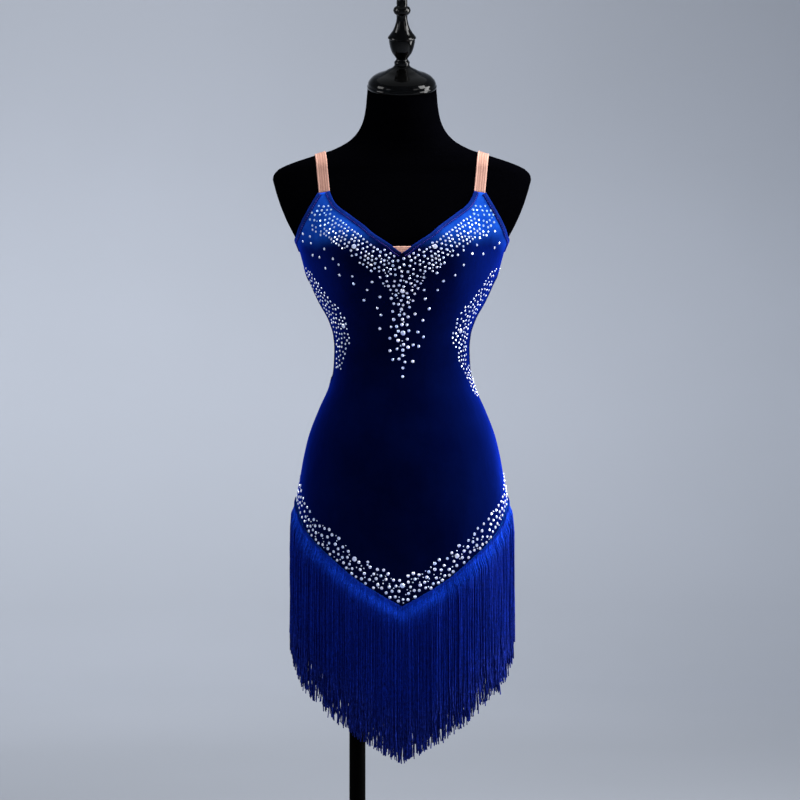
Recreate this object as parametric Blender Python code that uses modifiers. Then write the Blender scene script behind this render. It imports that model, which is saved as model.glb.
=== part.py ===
"""A Latin dance dress on a limbless dress form, at its real size, in metres, +Z up, front towards -Y.

The dress is a velvet sheath with a V neck, cut-outs at the waist that run into an open back, nude
elastic straps and a long fringe hanging from a V hem. The form is a torso with a turned neck cap and
finial, on a pole and a round base. The origin is on the floor, under the torso's middle.

Places on the body are given by an angle round it, in degrees (0 in front, 90 at +X, 180 behind), and
by a height above the floor. The wearer's left is at +X. Tables and driving dimensions are in millimetres.
"""

import math
import random
from bisect import bisect_right
from collections import namedtuple

import bmesh
import bpy
from mathutils import Vector

MM = 0.001

# Cloth and trim
SEAM_GAP = 0.3  # between pieces that touch
SEAM_ANGLE = 0.06  # half of that gap at the fringe's side seams, in degrees
CLOTH_CLEAR = 2.2  # velvet's inner side off the form
STRAP_CLEAR = 0.85
VELVET = 1.4
BINDING = 1.0
BINDING_GAP = 0.7
BINDING_WIDTH = 7.0
BINDING_START = 0.012  # share of the neck's edge left free at the V, to keep the two bindings apart
BINDING_END = 0.2  # degrees left free where they meet behind
ELASTIC = 1.0
STRAP_WIDTH = 17.0
NECK_ELASTIC_HALF_LENGTH = 30.0
NECK_ELASTIC_WIDTH = 15.0
NECK_ELASTIC_TOP = 1206.5
NECK_ELASTIC_GAP = 0.9

# Fringe
FRINGE_DROP = 233.0  # from the header's top to the strands' ends
HEADER_DEPTH = 7.0
HEADER_THICKNESS = 2.4
HEM_BELOW_HEADER = 1.0
STRANDS = 90  # in front, and as many behind
STRAND_SHARE = 0.68  # of the room that each strand has
STRAND_BEND = 38.0  # below the header, where the strands have swung out and begin to hang straight
STRAND_SWING = 6.0
STRAND_TAPER = 0.7
STRAND_UNEVENNESS = 5.0

# Bust
BUST_HEIGHT = 1190.0
BUST_APART = 75.0  # from the middle to each cup's highest point
BUST_RISE = 30.0
BUST_SPREAD = 60.0
BUST_FALL_ABOVE = 62.0
BUST_FALL_BELOW = 58.0
BUST_FADE = 1.4  # how soon the rise ends towards the side
CLOTH_BRIDGE = 0.86  # share of the rise that the cloth keeps across the middle

# Form and stand
NECK_TILT = math.radians(21.0)
TORSO_EDGE = 5.0
POLE_X = -69.0
POLE_RADIUS = 12.5
BASE_RADIUS = 172.0
BASE_THICKNESS = 8.0
BASE_BEVEL = 2.0
COLLAR_RADIUS = 19.0
COLLAR_HEIGHT = 32.0
FLANGE_RADIUS = 38.0
FLANGE_THICKNESS = 5.0

# Fineness of the solids
TORSO_POINTS = 32
TORSO_CROWDING = 0.35  # how much closer they stand at the sides than in front
FAR_APART = 44.0  # sections of the torso this far apart get a ring between them
PANEL_COLUMNS = 12
SKIRT_ROWS = 9
WAIST_ROWS = 10
BAND_ROWS = 2
CUP_ROWS = 8
TURNED_STEPS = 18
BASE_STEPS = 48

Section = namedtuple("Section", "height half_width front back square slope")
TORSO = [
    Section(640, 150.0, 94, 104, 2.30, 0.0),
    Section(700, 155.0, 99, 112, 2.30, 0.0),
    Section(760, 157.5, 103, 117, 2.25, 0.0),
    Section(822, 157.8, 106, 118, 2.20, 0.0),
    Section(868, 152.0, 107, 112, 2.15, 0.0),
    Section(915, 142.5, 104, 102, 2.10, 0.0),
    Section(960, 126.0, 97, 90, 2.10, 0.0),
    Section(1000, 108.8, 90, 80, 2.10, 0.0),
    Section(1028, 104.0, 87, 76, 2.10, 0.0),
    Section(1055, 103.2, 86, 75, 2.10, 0.0),
    Section(1078, 105.5, 87, 77, 2.10, 0.0),
    Section(1100, 113.3, 89, 82, 2.15, 0.0),
    Section(1130, 130.0, 92, 88, 2.20, 0.0),
    Section(1162, 142.8, 96, 94, 2.25, 0.0),
    Section(1194, 151.5, 98, 99, 2.35, 0.0),
    Section(1210, 156.0, 97, 101, 2.40, 0.0),
    Section(1225, 163.5, 96, 102, 2.45, 0.0),
    Section(1242, 177.0, 93, 103, 2.45, 0.0),
    Section(1266, 192.0, 87, 103, 2.45, 0.0),
    Section(1290, 200.5, 78, 100, 2.45, 0.0),
    Section(1310, 202.0, 69, 95, 2.45, 0.0),
    Section(1324, 199.0, 62, 90, 2.50, 0.0),
    Section(1334, 190.0, 59, 87, 2.50, 0.0),
    Section(1341, 175.0, 56, 83, 2.50, 0.0),
    Section(1349, 154.0, 53, 79, 2.40, 0.02),
    Section(1357, 131.0, 51, 75, 2.30, 0.05),
    Section(1365, 107.5, 50, 71, 2.20, 0.10),
    Section(1380, 80.5, 50, 64, 2.10, 0.18),
    Section(1395, 66.8, 52, 58, 2.05, 0.25),
    Section(1411, 59.6, 54, 54, 2.00, 0.31),
    Section(1430, 55.8, 57, 47, 2.00, 0.36),
    Section(1459, 53.2, 58.7, 40.7, 2.00, math.tan(NECK_TILT)),
]

ArmCap = namedtuple("ArmCap", "height half_width")
# The nearly flat caps that end the arms
ARM_CAPS = [
    ArmCap(1225, 163.5),
    ArmCap(1255, 178.5),
    ArmCap(1286, 190.5),
    ArmCap(1317, 199.8),
]

# How far the cloth stands off the form, over its clearance
Ease = namedtuple("Ease", "height ease")
SKIRT_EASE = [
    Ease(640, 6.0),
    Ease(760, 3.0),
    Ease(822, 1.2),
    Ease(868, 0.3),
    Ease(915, 0.0),
    Ease(1360, 0.0),
]

EdgePoint = namedtuple("EdgePoint", "angle height")
# Top of the fringe's header behind the side seam
HEM_BACK = [
    EdgePoint(98, 826),
    EdgePoint(116, 808),
    EdgePoint(138, 765),
    EdgePoint(160, 715),
    EdgePoint(180, 676),
]
SKIRT_TOP_SIDE = 1011.0
BAND_BOTTOM_SIDE = 1170.0
BAND_TOP_SIDE = 1213.5
BACK_SKIRT_TOP = [
    EdgePoint(90, SKIRT_TOP_SIDE),
    EdgePoint(130, 990),
    EdgePoint(165, 978),
    EdgePoint(180, 977),
]
BACK_BAND_TOP = [
    EdgePoint(90, BAND_TOP_SIDE),
    EdgePoint(130, 1222),
    EdgePoint(165, 1225),
    EdgePoint(180, 1225),
]
BACK_BAND_BOTTOM = [
    EdgePoint(90, BAND_BOTTOM_SIDE),
    EdgePoint(130, 1173),
    EdgePoint(165, 1175),
    EdgePoint(180, 1175),
]

SeenPoint = namedtuple("SeenPoint", "x height")
# Edges as they look from the front: the top of the fringe's header, from the middle to the side,
HEM_FRONT = [
    SeenPoint(0.0, 666),
    SeenPoint(30.0, 683),
    SeenPoint(65.5, 705.5),
    SeenPoint(111.5, 745),
    SeenPoint(130.5, 764),
    SeenPoint(146.0, 786),
    SeenPoint(154.0, 807),
]
# the waist's cut-out, from the skirt's top to the back band,
CUTOUT = [
    SeenPoint(104.9, 1013),
    SeenPoint(103.4, 1021),
    SeenPoint(102.3, 1036),
    SeenPoint(101.9, 1062),
    SeenPoint(105.4, 1085),
    SeenPoint(114.0, 1107),
    SeenPoint(124.5, 1125),
    SeenPoint(133.2, 1143),
    SeenPoint(139.0, 1156),
]
# the neck, from the bottom of the V to the strap, and the armhole, from near the side to the strap
NECKLINE = [
    SeenPoint(0.0, 1196),
    SeenPoint(6.0, 1199),
    SeenPoint(16.5, 1207),
    SeenPoint(30.0, 1216),
    SeenPoint(43.5, 1225),
    SeenPoint(57.0, 1237),
    SeenPoint(71.0, 1248),
    SeenPoint(85.0, 1259),
    SeenPoint(98.0, 1270),
    SeenPoint(106.0, 1283),
    SeenPoint(109.5, 1292),
]
ARMHOLE = [
    SeenPoint(161.8, 1223.5),
    SeenPoint(158.8, 1231),
    SeenPoint(153.5, 1243),
    SeenPoint(147.0, 1255),
    SeenPoint(140.0, 1267),
    SeenPoint(132.5, 1280),
    SeenPoint(126.5, 1290),
]

TurnedPoint = namedtuple("TurnedPoint", "along radius")
# Profiles up the neck's axis, from the neck's top
NECK_CAP = [
    TurnedPoint(0.3, 53.6),
    TurnedPoint(3.4, 53.9),
    TurnedPoint(4.2, 52.8),
    TurnedPoint(8.0, 52.4),
    TurnedPoint(11.7, 50.4),
    TurnedPoint(17.3, 45.0),
    TurnedPoint(20.8, 38.5),
    TurnedPoint(23.6, 31.0),
    TurnedPoint(25.6, 26.4),
    TurnedPoint(28.0, 22.4),
    TurnedPoint(30.7, 17.0),
    TurnedPoint(33.2, 13.4),
    TurnedPoint(35.0, 12.0),
]
FINIAL = [
    TurnedPoint(35.3, 11.6),
    TurnedPoint(40.5, 12.0),
    TurnedPoint(42.0, 11.0),
    TurnedPoint(45.4, 8.8),
    TurnedPoint(49.5, 11.2),
    TurnedPoint(55.0, 15.0),
    TurnedPoint(62.4, 17.9),
    TurnedPoint(71.2, 19.8),
    TurnedPoint(74.6, 20.1),
    TurnedPoint(76.2, 20.0),
    TurnedPoint(78.4, 21.9),
    TurnedPoint(80.2, 21.0),
    TurnedPoint(84.6, 17.6),
    TurnedPoint(89.6, 14.2),
    TurnedPoint(96.0, 11.2),
    TurnedPoint(102.4, 9.3),
    TurnedPoint(108.8, 8.3),
    TurnedPoint(113.0, 8.6),
    TurnedPoint(116.4, 11.8),
    TurnedPoint(120.6, 13.4),
    TurnedPoint(125.0, 11.8),
    TurnedPoint(128.0, 8.2),
    TurnedPoint(131.8, 8.4),
    TurnedPoint(136.6, 8.0),
    TurnedPoint(141.4, 6.2),
    TurnedPoint(145.6, 3.4),
    TurnedPoint(147.4, 0.0),
]

StrapPoint = namedtuple("StrapPoint", "along x")
# The strap's middle line: its share of the way over the shoulder from the front, and its place across
STRAP_LINE = [
    StrapPoint(0.0, 118.0),
    StrapPoint(0.45, 128.0),
    StrapPoint(0.7, 124.0),
    StrapPoint(1.0, 106.0),
]
SHOULDER_Y, SHOULDER_HEIGHT = 8.0, 1262.0  # the line that the strap is swept round
SHOULDER_REACH = 150.0  # further than the torso's surface lies from it
STRAP_ROWS = 28


def fair(rows, key, column):
    """A smooth function through one column of a table that never passes beyond its values."""
    xs = [getattr(row, key) for row in rows]
    ys = [getattr(row, column) for row in rows]
    steps = [(ys[i + 1] - ys[i]) / (xs[i + 1] - xs[i]) for i in range(len(xs) - 1)]
    slopes = [steps[0]]
    for before, after in zip(steps, steps[1:]):
        slopes.append(2 * before * after / (before + after) if before * after > 0 else 0.0)
    slopes.append(steps[-1])

    def value(x):
        x = min(max(x, min(xs)), max(xs))
        i = min(max(bisect_right(xs, x) - 1, 0), len(xs) - 2)
        width = xs[i + 1] - xs[i]
        t = (x - xs[i]) / width
        return (
            ys[i] * (1 + 2 * t) * (1 - t) ** 2
            + ys[i + 1] * t * t * (3 - 2 * t)
            + width * (slopes[i] * t * (1 - t) ** 2 - slopes[i + 1] * t * t * (1 - t))
        )

    return value


section_of = {column: fair(TORSO, "height", column) for column in Section._fields[1:]}
arm_cap_width = fair(ARM_CAPS, "height", "half_width")
ease_at = fair(SKIRT_EASE, "height", "ease")
back_skirt_top_at = fair(BACK_SKIRT_TOP, "angle", "height")
back_band_top_at = fair(BACK_BAND_TOP, "angle", "height")
back_band_bottom_at = fair(BACK_BAND_BOTTOM, "angle", "height")


def mix(a, b, t):
    return a + (b - a) * t


def smooth_step(t):
    t = min(max(t, 0.0), 1.0)
    return t * t * (3 - 2 * t)


def bell(t):
    return math.exp(-t * t)


def bust(x, height, bridge):
    """How far the front stands out at the two cups. The cloth spans the hollow between them."""
    cups = bell((x - BUST_APART) / BUST_SPREAD) + bell((x + BUST_APART) / BUST_SPREAD)
    spanned = cups
    if abs(x) < BUST_APART:
        spanned = mix(CLOTH_BRIDGE, 1.0, smooth_step(abs(x) / BUST_APART))
    fall = BUST_FALL_ABOVE if height > BUST_HEIGHT else BUST_FALL_BELOW
    return BUST_RISE * mix(cups, spanned, bridge) * bell((height - BUST_HEIGHT) / fall)


def arm_cap_at(height):
    """The half width at which each arm ends in a flat cap."""
    if ARM_CAPS[0].height <= height <= ARM_CAPS[-1].height:
        return arm_cap_width(height)
    return math.inf


def on_torso(angle, height, bridge=0.0):
    """The point of the torso's surface at an angle and height, in millimetres."""
    half_width, front, back, square, slope = (section_of[column](height) for column in Section._fields[1:])
    across, ahead = math.sin(math.radians(angle)), math.cos(math.radians(angle))
    depth = front if ahead > 0 else back
    reach = ((abs(across) / half_width) ** square + (abs(ahead) / depth) ** square) ** (-1 / square)
    cap = arm_cap_at(height)
    x, y = min(max(reach * across, -cap), cap), -reach * ahead
    if ahead > 0:
        y -= bust(x, height, bridge) * smooth_step(BUST_FADE * ahead)
    return Vector((x, y, height + slope * (y - (back - front) / 2)))


def off_torso(angle, height, out, bridge=0.0):
    """That point moved out from the surface, along its normal."""
    step = 0.5
    round_it = on_torso(angle + step, height, bridge) - on_torso(angle - step, height, bridge)
    up_it = on_torso(angle, height + step, bridge) - on_torso(angle, height - step, bridge)
    return on_torso(angle, height, bridge) + round_it.cross(up_it).normalized() * out


def on_cloth(angle, height, out):
    """A point on the dress, a distance out from the velvet's inner side."""
    return off_torso(angle, height, CLOTH_CLEAR + ease_at(height) + out, bridge=1.0)


def angle_of(x, height, behind=False):
    """The angle at which the front, or the back, reaches this far across at that height."""
    half_width, square = section_of["half_width"](height), section_of["square"](height)
    depth = -section_of["back"](height) if behind else section_of["front"](height)
    ahead = depth * (1 - min(x / half_width, 1.0) ** square) ** (1 / square)
    return math.degrees(math.atan2(x, ahead))


def edge_line(points):
    """A smooth edge through points, as a function from its share of the way along to (angle, height)."""
    lengths = [0.0]
    for a, b in zip(points, points[1:]):
        wide = (section_of["half_width"](a.height) + section_of["half_width"](b.height)) / 2
        across = math.radians(b.angle - a.angle) * wide
        lengths.append(lengths[-1] + math.hypot(across, b.height - a.height))
    Place = namedtuple("Place", "share angle height")
    rows = [
        Place(length / lengths[-1], point.angle, point.height)
        for length, point in zip(lengths, points)
    ]
    angle_at, height_at = fair(rows, "share", "angle"), fair(rows, "share", "height")
    return lambda share: EdgePoint(angle_at(share), height_at(share))


def seen_from_front(points):
    return [EdgePoint(angle_of(point.x, point.height), point.height) for point in points]


HEM = seen_from_front(HEM_FRONT) + HEM_BACK
CUTOUT_EDGE = [
    EdgePoint(90.0, SKIRT_TOP_SIDE),
    *seen_from_front(CUTOUT),
    EdgePoint(90.0, BAND_BOTTOM_SIDE),
]
hem_at = fair(HEM, "angle", "height")
cutout_edge = edge_line(CUTOUT_EDGE)
neck_edge = edge_line(seen_from_front(NECKLINE))
armhole_edge = edge_line([EdgePoint(90.0, BAND_TOP_SIDE)] + seen_from_front(ARMHOLE))


def material(name, colour, roughness, metallic=0.0):
    made = bpy.data.materials.new(name)
    made.use_nodes = True
    shader = made.node_tree.nodes["Principled BSDF"]
    shader.inputs["Base Color"].default_value = (*colour, 1.0)
    shader.inputs["Roughness"].default_value = roughness
    shader.inputs["Metallic"].default_value = metallic
    return made


def clear_scene():
    for obj in list(bpy.data.objects):
        bpy.data.objects.remove(obj)


def add_object(name, bm, finish, collection):
    """A new object in metres from a bmesh in millimetres."""
    bmesh.ops.scale(bm, vec=(MM, MM, MM), verts=bm.verts)
    mesh = bpy.data.meshes.new(name)
    bm.to_mesh(mesh)
    bm.free()
    mesh.materials.append(finish)
    mesh.shade_smooth()
    obj = bpy.data.objects.new(name, mesh)
    collection.objects.link(obj)
    return obj


def cloth_grid(name, place, columns, rows, thickness, finish, collection, mirrored=False):
    """A piece of cloth: a flat grid bent into shape, thickened outwards. place(u, v) gives the points
    of its inner side."""
    bm = bmesh.new()
    bmesh.ops.create_grid(bm, x_segments=columns, y_segments=rows, size=0.5)
    for vert in bm.verts:
        vert.co = place(round(vert.co.x + 0.5, 6), round(vert.co.y + 0.5, 6))
    bm.normal_update()
    obj = add_object(name, bm, finish, collection)
    if mirrored:
        mirror = obj.modifiers.new("both_sides", "MIRROR")
        mirror.merge_threshold = 0.0001
    wall = obj.modifiers.new("wall", "SOLIDIFY")
    wall.thickness = thickness * MM
    wall.offset = 1.0
    wall.use_even_offset = True
    return obj


def mirror_copy(obj, name, collection):
    """The same piece on the body's other side."""
    twin = obj.copy()
    twin.data = obj.data.copy()
    twin.name = name
    twin.data.name = name
    bm = bmesh.new()
    bm.from_mesh(twin.data)
    for vert in bm.verts:
        vert.co.x = -vert.co.x
    bmesh.ops.reverse_faces(bm, faces=bm.faces)
    bm.to_mesh(twin.data)
    bm.free()
    collection.objects.link(twin)
    return twin


def levels():
    """Heights of the torso's rings: its sections', and one between where they lie far apart."""
    found = []
    for a, b in zip(TORSO, TORSO[1:]):
        found.append(a.height)
        if b.height - a.height > FAR_APART:
            found.append((a.height + b.height) / 2)
    return found + [TORSO[-1].height]


def make_torso(finish, collection):
    """The form's body: a sphere's rings laid out at the sections, its poles in the flat ends."""
    rings = levels()
    bottom, top = TORSO[0], TORSO[-1]
    bm = bmesh.new()
    bmesh.ops.create_uvsphere(bm, u_segments=TORSO_POINTS, v_segments=len(rings) + 2, radius=1.0)
    for vert in bm.verts:
        down = math.acos(max(-1.0, min(1.0, vert.co.z))) / math.pi
        ring = round((len(rings) + 2) * (1 - down))
        turn = math.atan2(vert.co.x, -vert.co.y)
        angle = math.degrees(turn + TORSO_CROWDING * math.sin(2 * turn) / 2)
        if ring == 0:
            vert.co = Vector((0, 0, bottom.height))
        elif ring == 1:
            vert.co = off_torso(angle, bottom.height, -TORSO_EDGE)
            vert.co.z = bottom.height
        elif ring == len(rings) + 2:
            vert.co = Vector((0, (top.back - top.front) / 2, top.height))
        else:
            height = rings[ring - 2] + (TORSO_EDGE if ring == 2 else 0)
            vert.co = on_torso(angle, height)
    return add_object("form_torso", bm, finish, collection)


def make_turned(name, profile, finish, collection, hollow=False):
    """A turned piece. A solid one is given by its profile up its outer side, and its ends are closed
    on the axis. A hollow one is given by its section's whole outline."""
    bm = bmesh.new()
    if hollow:
        line = list(profile) + [profile[0]]
    else:
        foot, head = TurnedPoint(profile[0].along, 0.0), TurnedPoint(profile[-1].along, 0.0)
        line = [head, *reversed(profile), foot]
    verts = [bm.verts.new((point.radius, 0, point.along)) for point in line]
    for a, b in zip(verts, verts[1:]):
        bm.edges.new((a, b))
    bmesh.ops.remove_doubles(bm, verts=bm.verts, dist=0.01)
    obj = add_object(name, bm, finish, collection)
    screw = obj.modifiers.new("turn", "SCREW")
    screw.steps = screw.render_steps = TURNED_STEPS
    screw.use_merge_vertices = True
    screw.merge_threshold = 0.00001
    return obj


def make_form(finishes, collection):
    make_torso(finishes["form_cloth"], collection)
    top = TORSO[-1]
    for name, profile in (("neck_cap", NECK_CAP), ("finial", FINIAL)):
        obj = make_turned(name, profile, finishes["black_gloss"], collection)
        obj.location = (0, (top.back - top.front) / 2 * MM, top.height * MM)
        obj.rotation_euler = (NECK_TILT, 0, 0)


def make_stand(finishes, collection):
    """The pole between the torso and the base, in a socket above and a collar below."""
    metal = finishes["stand_metal"]
    bore = POLE_RADIUS + SEAM_GAP
    pole_foot, pole_head = BASE_THICKNESS + SEAM_GAP, TORSO[0].height - SEAM_GAP

    def flanged(end, inwards):
        """Outline of a collar whose flange lies against the base or the torso."""
        rim, mouth = end + inwards * FLANGE_THICKNESS, end + inwards * COLLAR_HEIGHT
        outline = [
            TurnedPoint(end, FLANGE_RADIUS),
            TurnedPoint(rim, FLANGE_RADIUS),
            TurnedPoint(rim, COLLAR_RADIUS),
            TurnedPoint(mouth, COLLAR_RADIUS),
            TurnedPoint(mouth, bore),
            TurnedPoint(end, bore),
        ]
        return outline if inwards < 0 else outline[::-1]

    pole_line = [TurnedPoint(pole_foot, POLE_RADIUS), TurnedPoint(pole_head, POLE_RADIUS)]
    pieces = [
        make_turned("pole_socket", flanged(pole_head, -1), metal, collection, hollow=True),
        make_turned("base_collar", flanged(pole_foot, 1), metal, collection, hollow=True),
        make_turned("pole", pole_line, metal, collection),
    ]
    for obj in pieces:
        obj.location.x = POLE_X * MM

    bm = bmesh.new()
    bmesh.ops.create_cone(
        bm,
        cap_ends=True,
        segments=BASE_STEPS,
        radius1=BASE_RADIUS,
        radius2=BASE_RADIUS,
        depth=BASE_THICKNESS,
    )
    bmesh.ops.translate(bm, vec=(0, 0, BASE_THICKNESS / 2), verts=bm.verts)
    plate = add_object("base_plate", bm, metal, collection)
    bevel = plate.modifiers.new("rim", "BEVEL")
    bevel.width = BASE_BEVEL * MM
    bevel.segments = 2


def front_rows():
    """The front panel's rows above the skirt, from waist to strap, each as its inner and outer end."""
    rows = []
    for i in range(WAIST_ROWS):
        share = i / WAIST_ROWS
        inner = EdgePoint(0.0, mix(SKIRT_TOP_SIDE, BAND_BOTTOM_SIDE, share))
        rows.append((inner, cutout_edge(share)))
    for i in range(BAND_ROWS):
        share = i / BAND_ROWS
        inner = EdgePoint(0.0, mix(BAND_BOTTOM_SIDE, NECKLINE[0].height, share))
        outer = EdgePoint(90.0, mix(BAND_BOTTOM_SIDE, BAND_TOP_SIDE, share))
        rows.append((inner, outer))
    for i in range(CUP_ROWS + 1):
        rows.append((neck_edge(i / CUP_ROWS), armhole_edge(i / CUP_ROWS)))
    return rows


def velvet_hem_at(angle):
    return hem_at(angle) - HEADER_DEPTH - HEM_BELOW_HEADER


def make_front_panel(finish, collection):
    upper = front_rows()
    row_count = SKIRT_ROWS + len(upper) - 1

    def place(u, v):
        row = round(v * row_count)
        if row < SKIRT_ROWS:
            angle = 90.0 * u
            height = mix(velvet_hem_at(angle), SKIRT_TOP_SIDE, row / SKIRT_ROWS)
        else:
            inner, outer = upper[row - SKIRT_ROWS]
            angle = mix(inner.angle, outer.angle, u)
            height = mix(inner.height, outer.height, u)
        point = on_cloth(angle, height, 0.0)
        if angle == 90.0:
            point.y -= SEAM_GAP / 2
        return point

    return cloth_grid(
        "front_panel", place, PANEL_COLUMNS, row_count, VELVET, finish, collection, mirrored=True
    )


def make_back_piece(name, bottom_at, top_at, rows, finish, collection):
    """A piece of the back from one side seam to the other, between two edges."""

    def place(u, v):
        angle = mix(90.0, 180.0, u)
        point = on_cloth(angle, mix(bottom_at(angle), top_at(angle), v), 0.0)
        if u == 0.0:
            point.y += SEAM_GAP / 2
        if u == 1.0:
            point.x = 0.0
        return point

    return cloth_grid(name, place, PANEL_COLUMNS, rows, VELVET, finish, collection, mirrored=True)


def beside(edge, share, distance):
    """A place on the cloth beside an edge, to its left going along it, as (angle, height)."""
    step = 0.01
    here = edge(share)
    back_from, ahead_to = edge(max(share - step, 0.0)), edge(min(share + step, 1.0))
    along = on_cloth(*ahead_to, 0.0) - on_cloth(*back_from, 0.0)
    angle, height = here
    by_angle = on_cloth(angle + 0.5, height, 0.0) - on_cloth(angle - 0.5, height, 0.0)
    by_height = on_cloth(angle, height + 0.5, 0.0) - on_cloth(angle, height - 0.5, 0.0)
    sideways = by_angle.cross(by_height).cross(along).normalized() * distance
    # sideways is split into a step round the body and a step up it
    aa, ah, hh = by_angle.dot(by_angle), by_angle.dot(by_height), by_height.dot(by_height)
    sa, sh = sideways.dot(by_angle), sideways.dot(by_height)
    det = aa * hh - ah * ah
    return EdgePoint(angle + (sa * hh - sh * ah) / det, height + (sh * aa - sa * ah) / det)


def make_binding(name, edge, columns, finish, collection):
    """A strip of binding laid on the velvet, on the right of one of its edges."""

    def place(u, v):
        point = beside(edge, u, (v - 1.0) * BINDING_WIDTH)
        return on_cloth(point.angle, point.height, VELVET + BINDING_GAP)

    return cloth_grid(name, place, columns, 2, BINDING, finish, collection)


def make_bindings(finish, collection):
    """Bindings along the neck, and along the armhole and on round the back band's top."""
    armhole_share = CUP_ROWS / (CUP_ROWS + PANEL_COLUMNS)

    def neck(share):
        return neck_edge(mix(BINDING_START, 1.0, share))

    def armhole(share):
        if share <= armhole_share:
            return armhole_edge(1.0 - share / armhole_share)
        angle = mix(90.0, 180.0 - BINDING_END, (share - armhole_share) / (1.0 - armhole_share))
        return EdgePoint(angle, back_band_top_at(angle))

    rows = {"neck": (neck, 2 * CUP_ROWS), "armhole": (armhole, CUP_ROWS + PANEL_COLUMNS)}
    for place, (edge, columns) in rows.items():
        left = make_binding(f"{place}_binding_left", edge, columns, finish, collection)
        mirror_copy(left, f"{place}_binding_right", collection)


def make_neck_elastic(finish, collection):
    """The elastic across the V, close behind the front panel."""
    half = NECK_ELASTIC_HALF_LENGTH

    def place(u, v):
        height = NECK_ELASTIC_TOP - NECK_ELASTIC_WIDTH * (1 - v)
        angle = math.copysign(angle_of(abs(mix(-half, half, u)), height), u - 0.5)
        return on_cloth(angle, height, -NECK_ELASTIC_GAP - ELASTIC)

    return cloth_grid("neck_elastic", place, 8, 2, ELASTIC, finish, collection)


def turn_towards(point):
    """How far round the shoulder's line a point lies: 0 straight behind, a quarter turn above."""
    return math.atan2(point.z - SHOULDER_HEIGHT, point.y - SHOULDER_Y)


def on_shoulder(x, turn, out):
    """A point over the shoulder, where a ray from its line leaves the torso, found by halving."""
    middle = Vector((x, SHOULDER_Y, SHOULDER_HEIGHT))
    outwards = Vector((0, math.cos(turn), math.sin(turn)))
    near, far = 0.0, SHOULDER_REACH
    while far - near > 0.01:
        point = middle + outwards * (near + far) / 2
        height = point.z
        for _ in range(4):
            height = point.z - on_torso(angle_of(x, height, point.y > 0), height).z + height
        surface = on_torso(angle_of(x, height, point.y > 0), height)
        inside = x < section_of["half_width"](height) and abs(point.y) < abs(surface.y)
        near, far = ((near + far) / 2, far) if inside else (near, (near + far) / 2)
    return middle + outwards * (near + out)


def make_strap(finish, collection):
    """A shoulder strap from the front panel's tip, over the shoulder, to the back band."""
    strap_x_at = fair(STRAP_LINE, "along", "x")
    tip = [neck_edge(1.0), armhole_edge(1.0)]

    def place(u, v):
        aside = mix(-STRAP_WIDTH / 2, STRAP_WIDTH / 2, u)
        front_height = mix(tip[0].height, tip[1].height, u) + SEAM_GAP
        start = on_cloth(mix(tip[0].angle, tip[1].angle, u), front_height, 0)
        angle = angle_of(STRAP_LINE[-1].x + aside, BAND_TOP_SIDE, behind=True)
        end = on_cloth(angle, back_band_top_at(angle) + SEAM_GAP, 0)
        turn = mix(turn_towards(start), turn_towards(end), v)
        return on_shoulder(strap_x_at(v) + aside, turn, STRAP_CLEAR)

    return cloth_grid("strap_left", place, 2, STRAP_ROWS, ELASTIC, finish, collection)


def make_fringe(name, start, end, rng, finish, collection):
    """A fringe from one angle round to another. Its header is a strip outside the velvet's edge, and
    every other face along the strip's underside runs down into a strand."""
    bm = bmesh.new()
    inner, outer = VELVET + SEAM_GAP, VELVET + SEAM_GAP + HEADER_THICKNESS
    rings = []
    for i in range(2 * STRANDS + 1):
        share = (i // 2 + (STRAND_SHARE if i % 2 else 0.0)) / STRANDS
        angle = mix(start, end, share)
        top = hem_at(180.0 - abs(180.0 - angle % 360.0))
        foot = top - HEADER_DEPTH
        corners = ((foot, inner), (top, inner), (top, outer), (foot, outer))
        rings.append([bm.verts.new(on_cloth(angle, height, out)) for height, out in corners])
    undersides = []
    for a, b in zip(rings, rings[1:]):
        faces = [bm.faces.new((a[k], a[k - 1], b[k - 1], b[k])) for k in range(4)]
        undersides.append(faces[0])
    bm.faces.new(rings[0])
    bm.faces.new(reversed(rings[-1]))
    bends = bmesh.ops.extrude_discrete_faces(bm, faces=undersides[::2])["faces"]
    for face in bends:
        middle = face.calc_center_median()
        swing = Vector((middle.x, middle.y, 0)).normalized() * STRAND_SWING
        for vert in face.verts:
            vert.co += swing - Vector((0, 0, STRAND_BEND))
    for face in bmesh.ops.extrude_discrete_faces(bm, faces=bends)["faces"]:
        middle = face.calc_center_median()
        length = FRINGE_DROP - HEADER_DEPTH - STRAND_BEND + rng.uniform(-STRAND_UNEVENNESS, STRAND_UNEVENNESS)
        for vert in face.verts:
            vert.co = mix(middle, vert.co, STRAND_TAPER)
            vert.co.z = middle.z - length
    bmesh.ops.recalc_face_normals(bm, faces=bm.faces)
    return add_object(name, bm, finish, collection)


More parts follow.
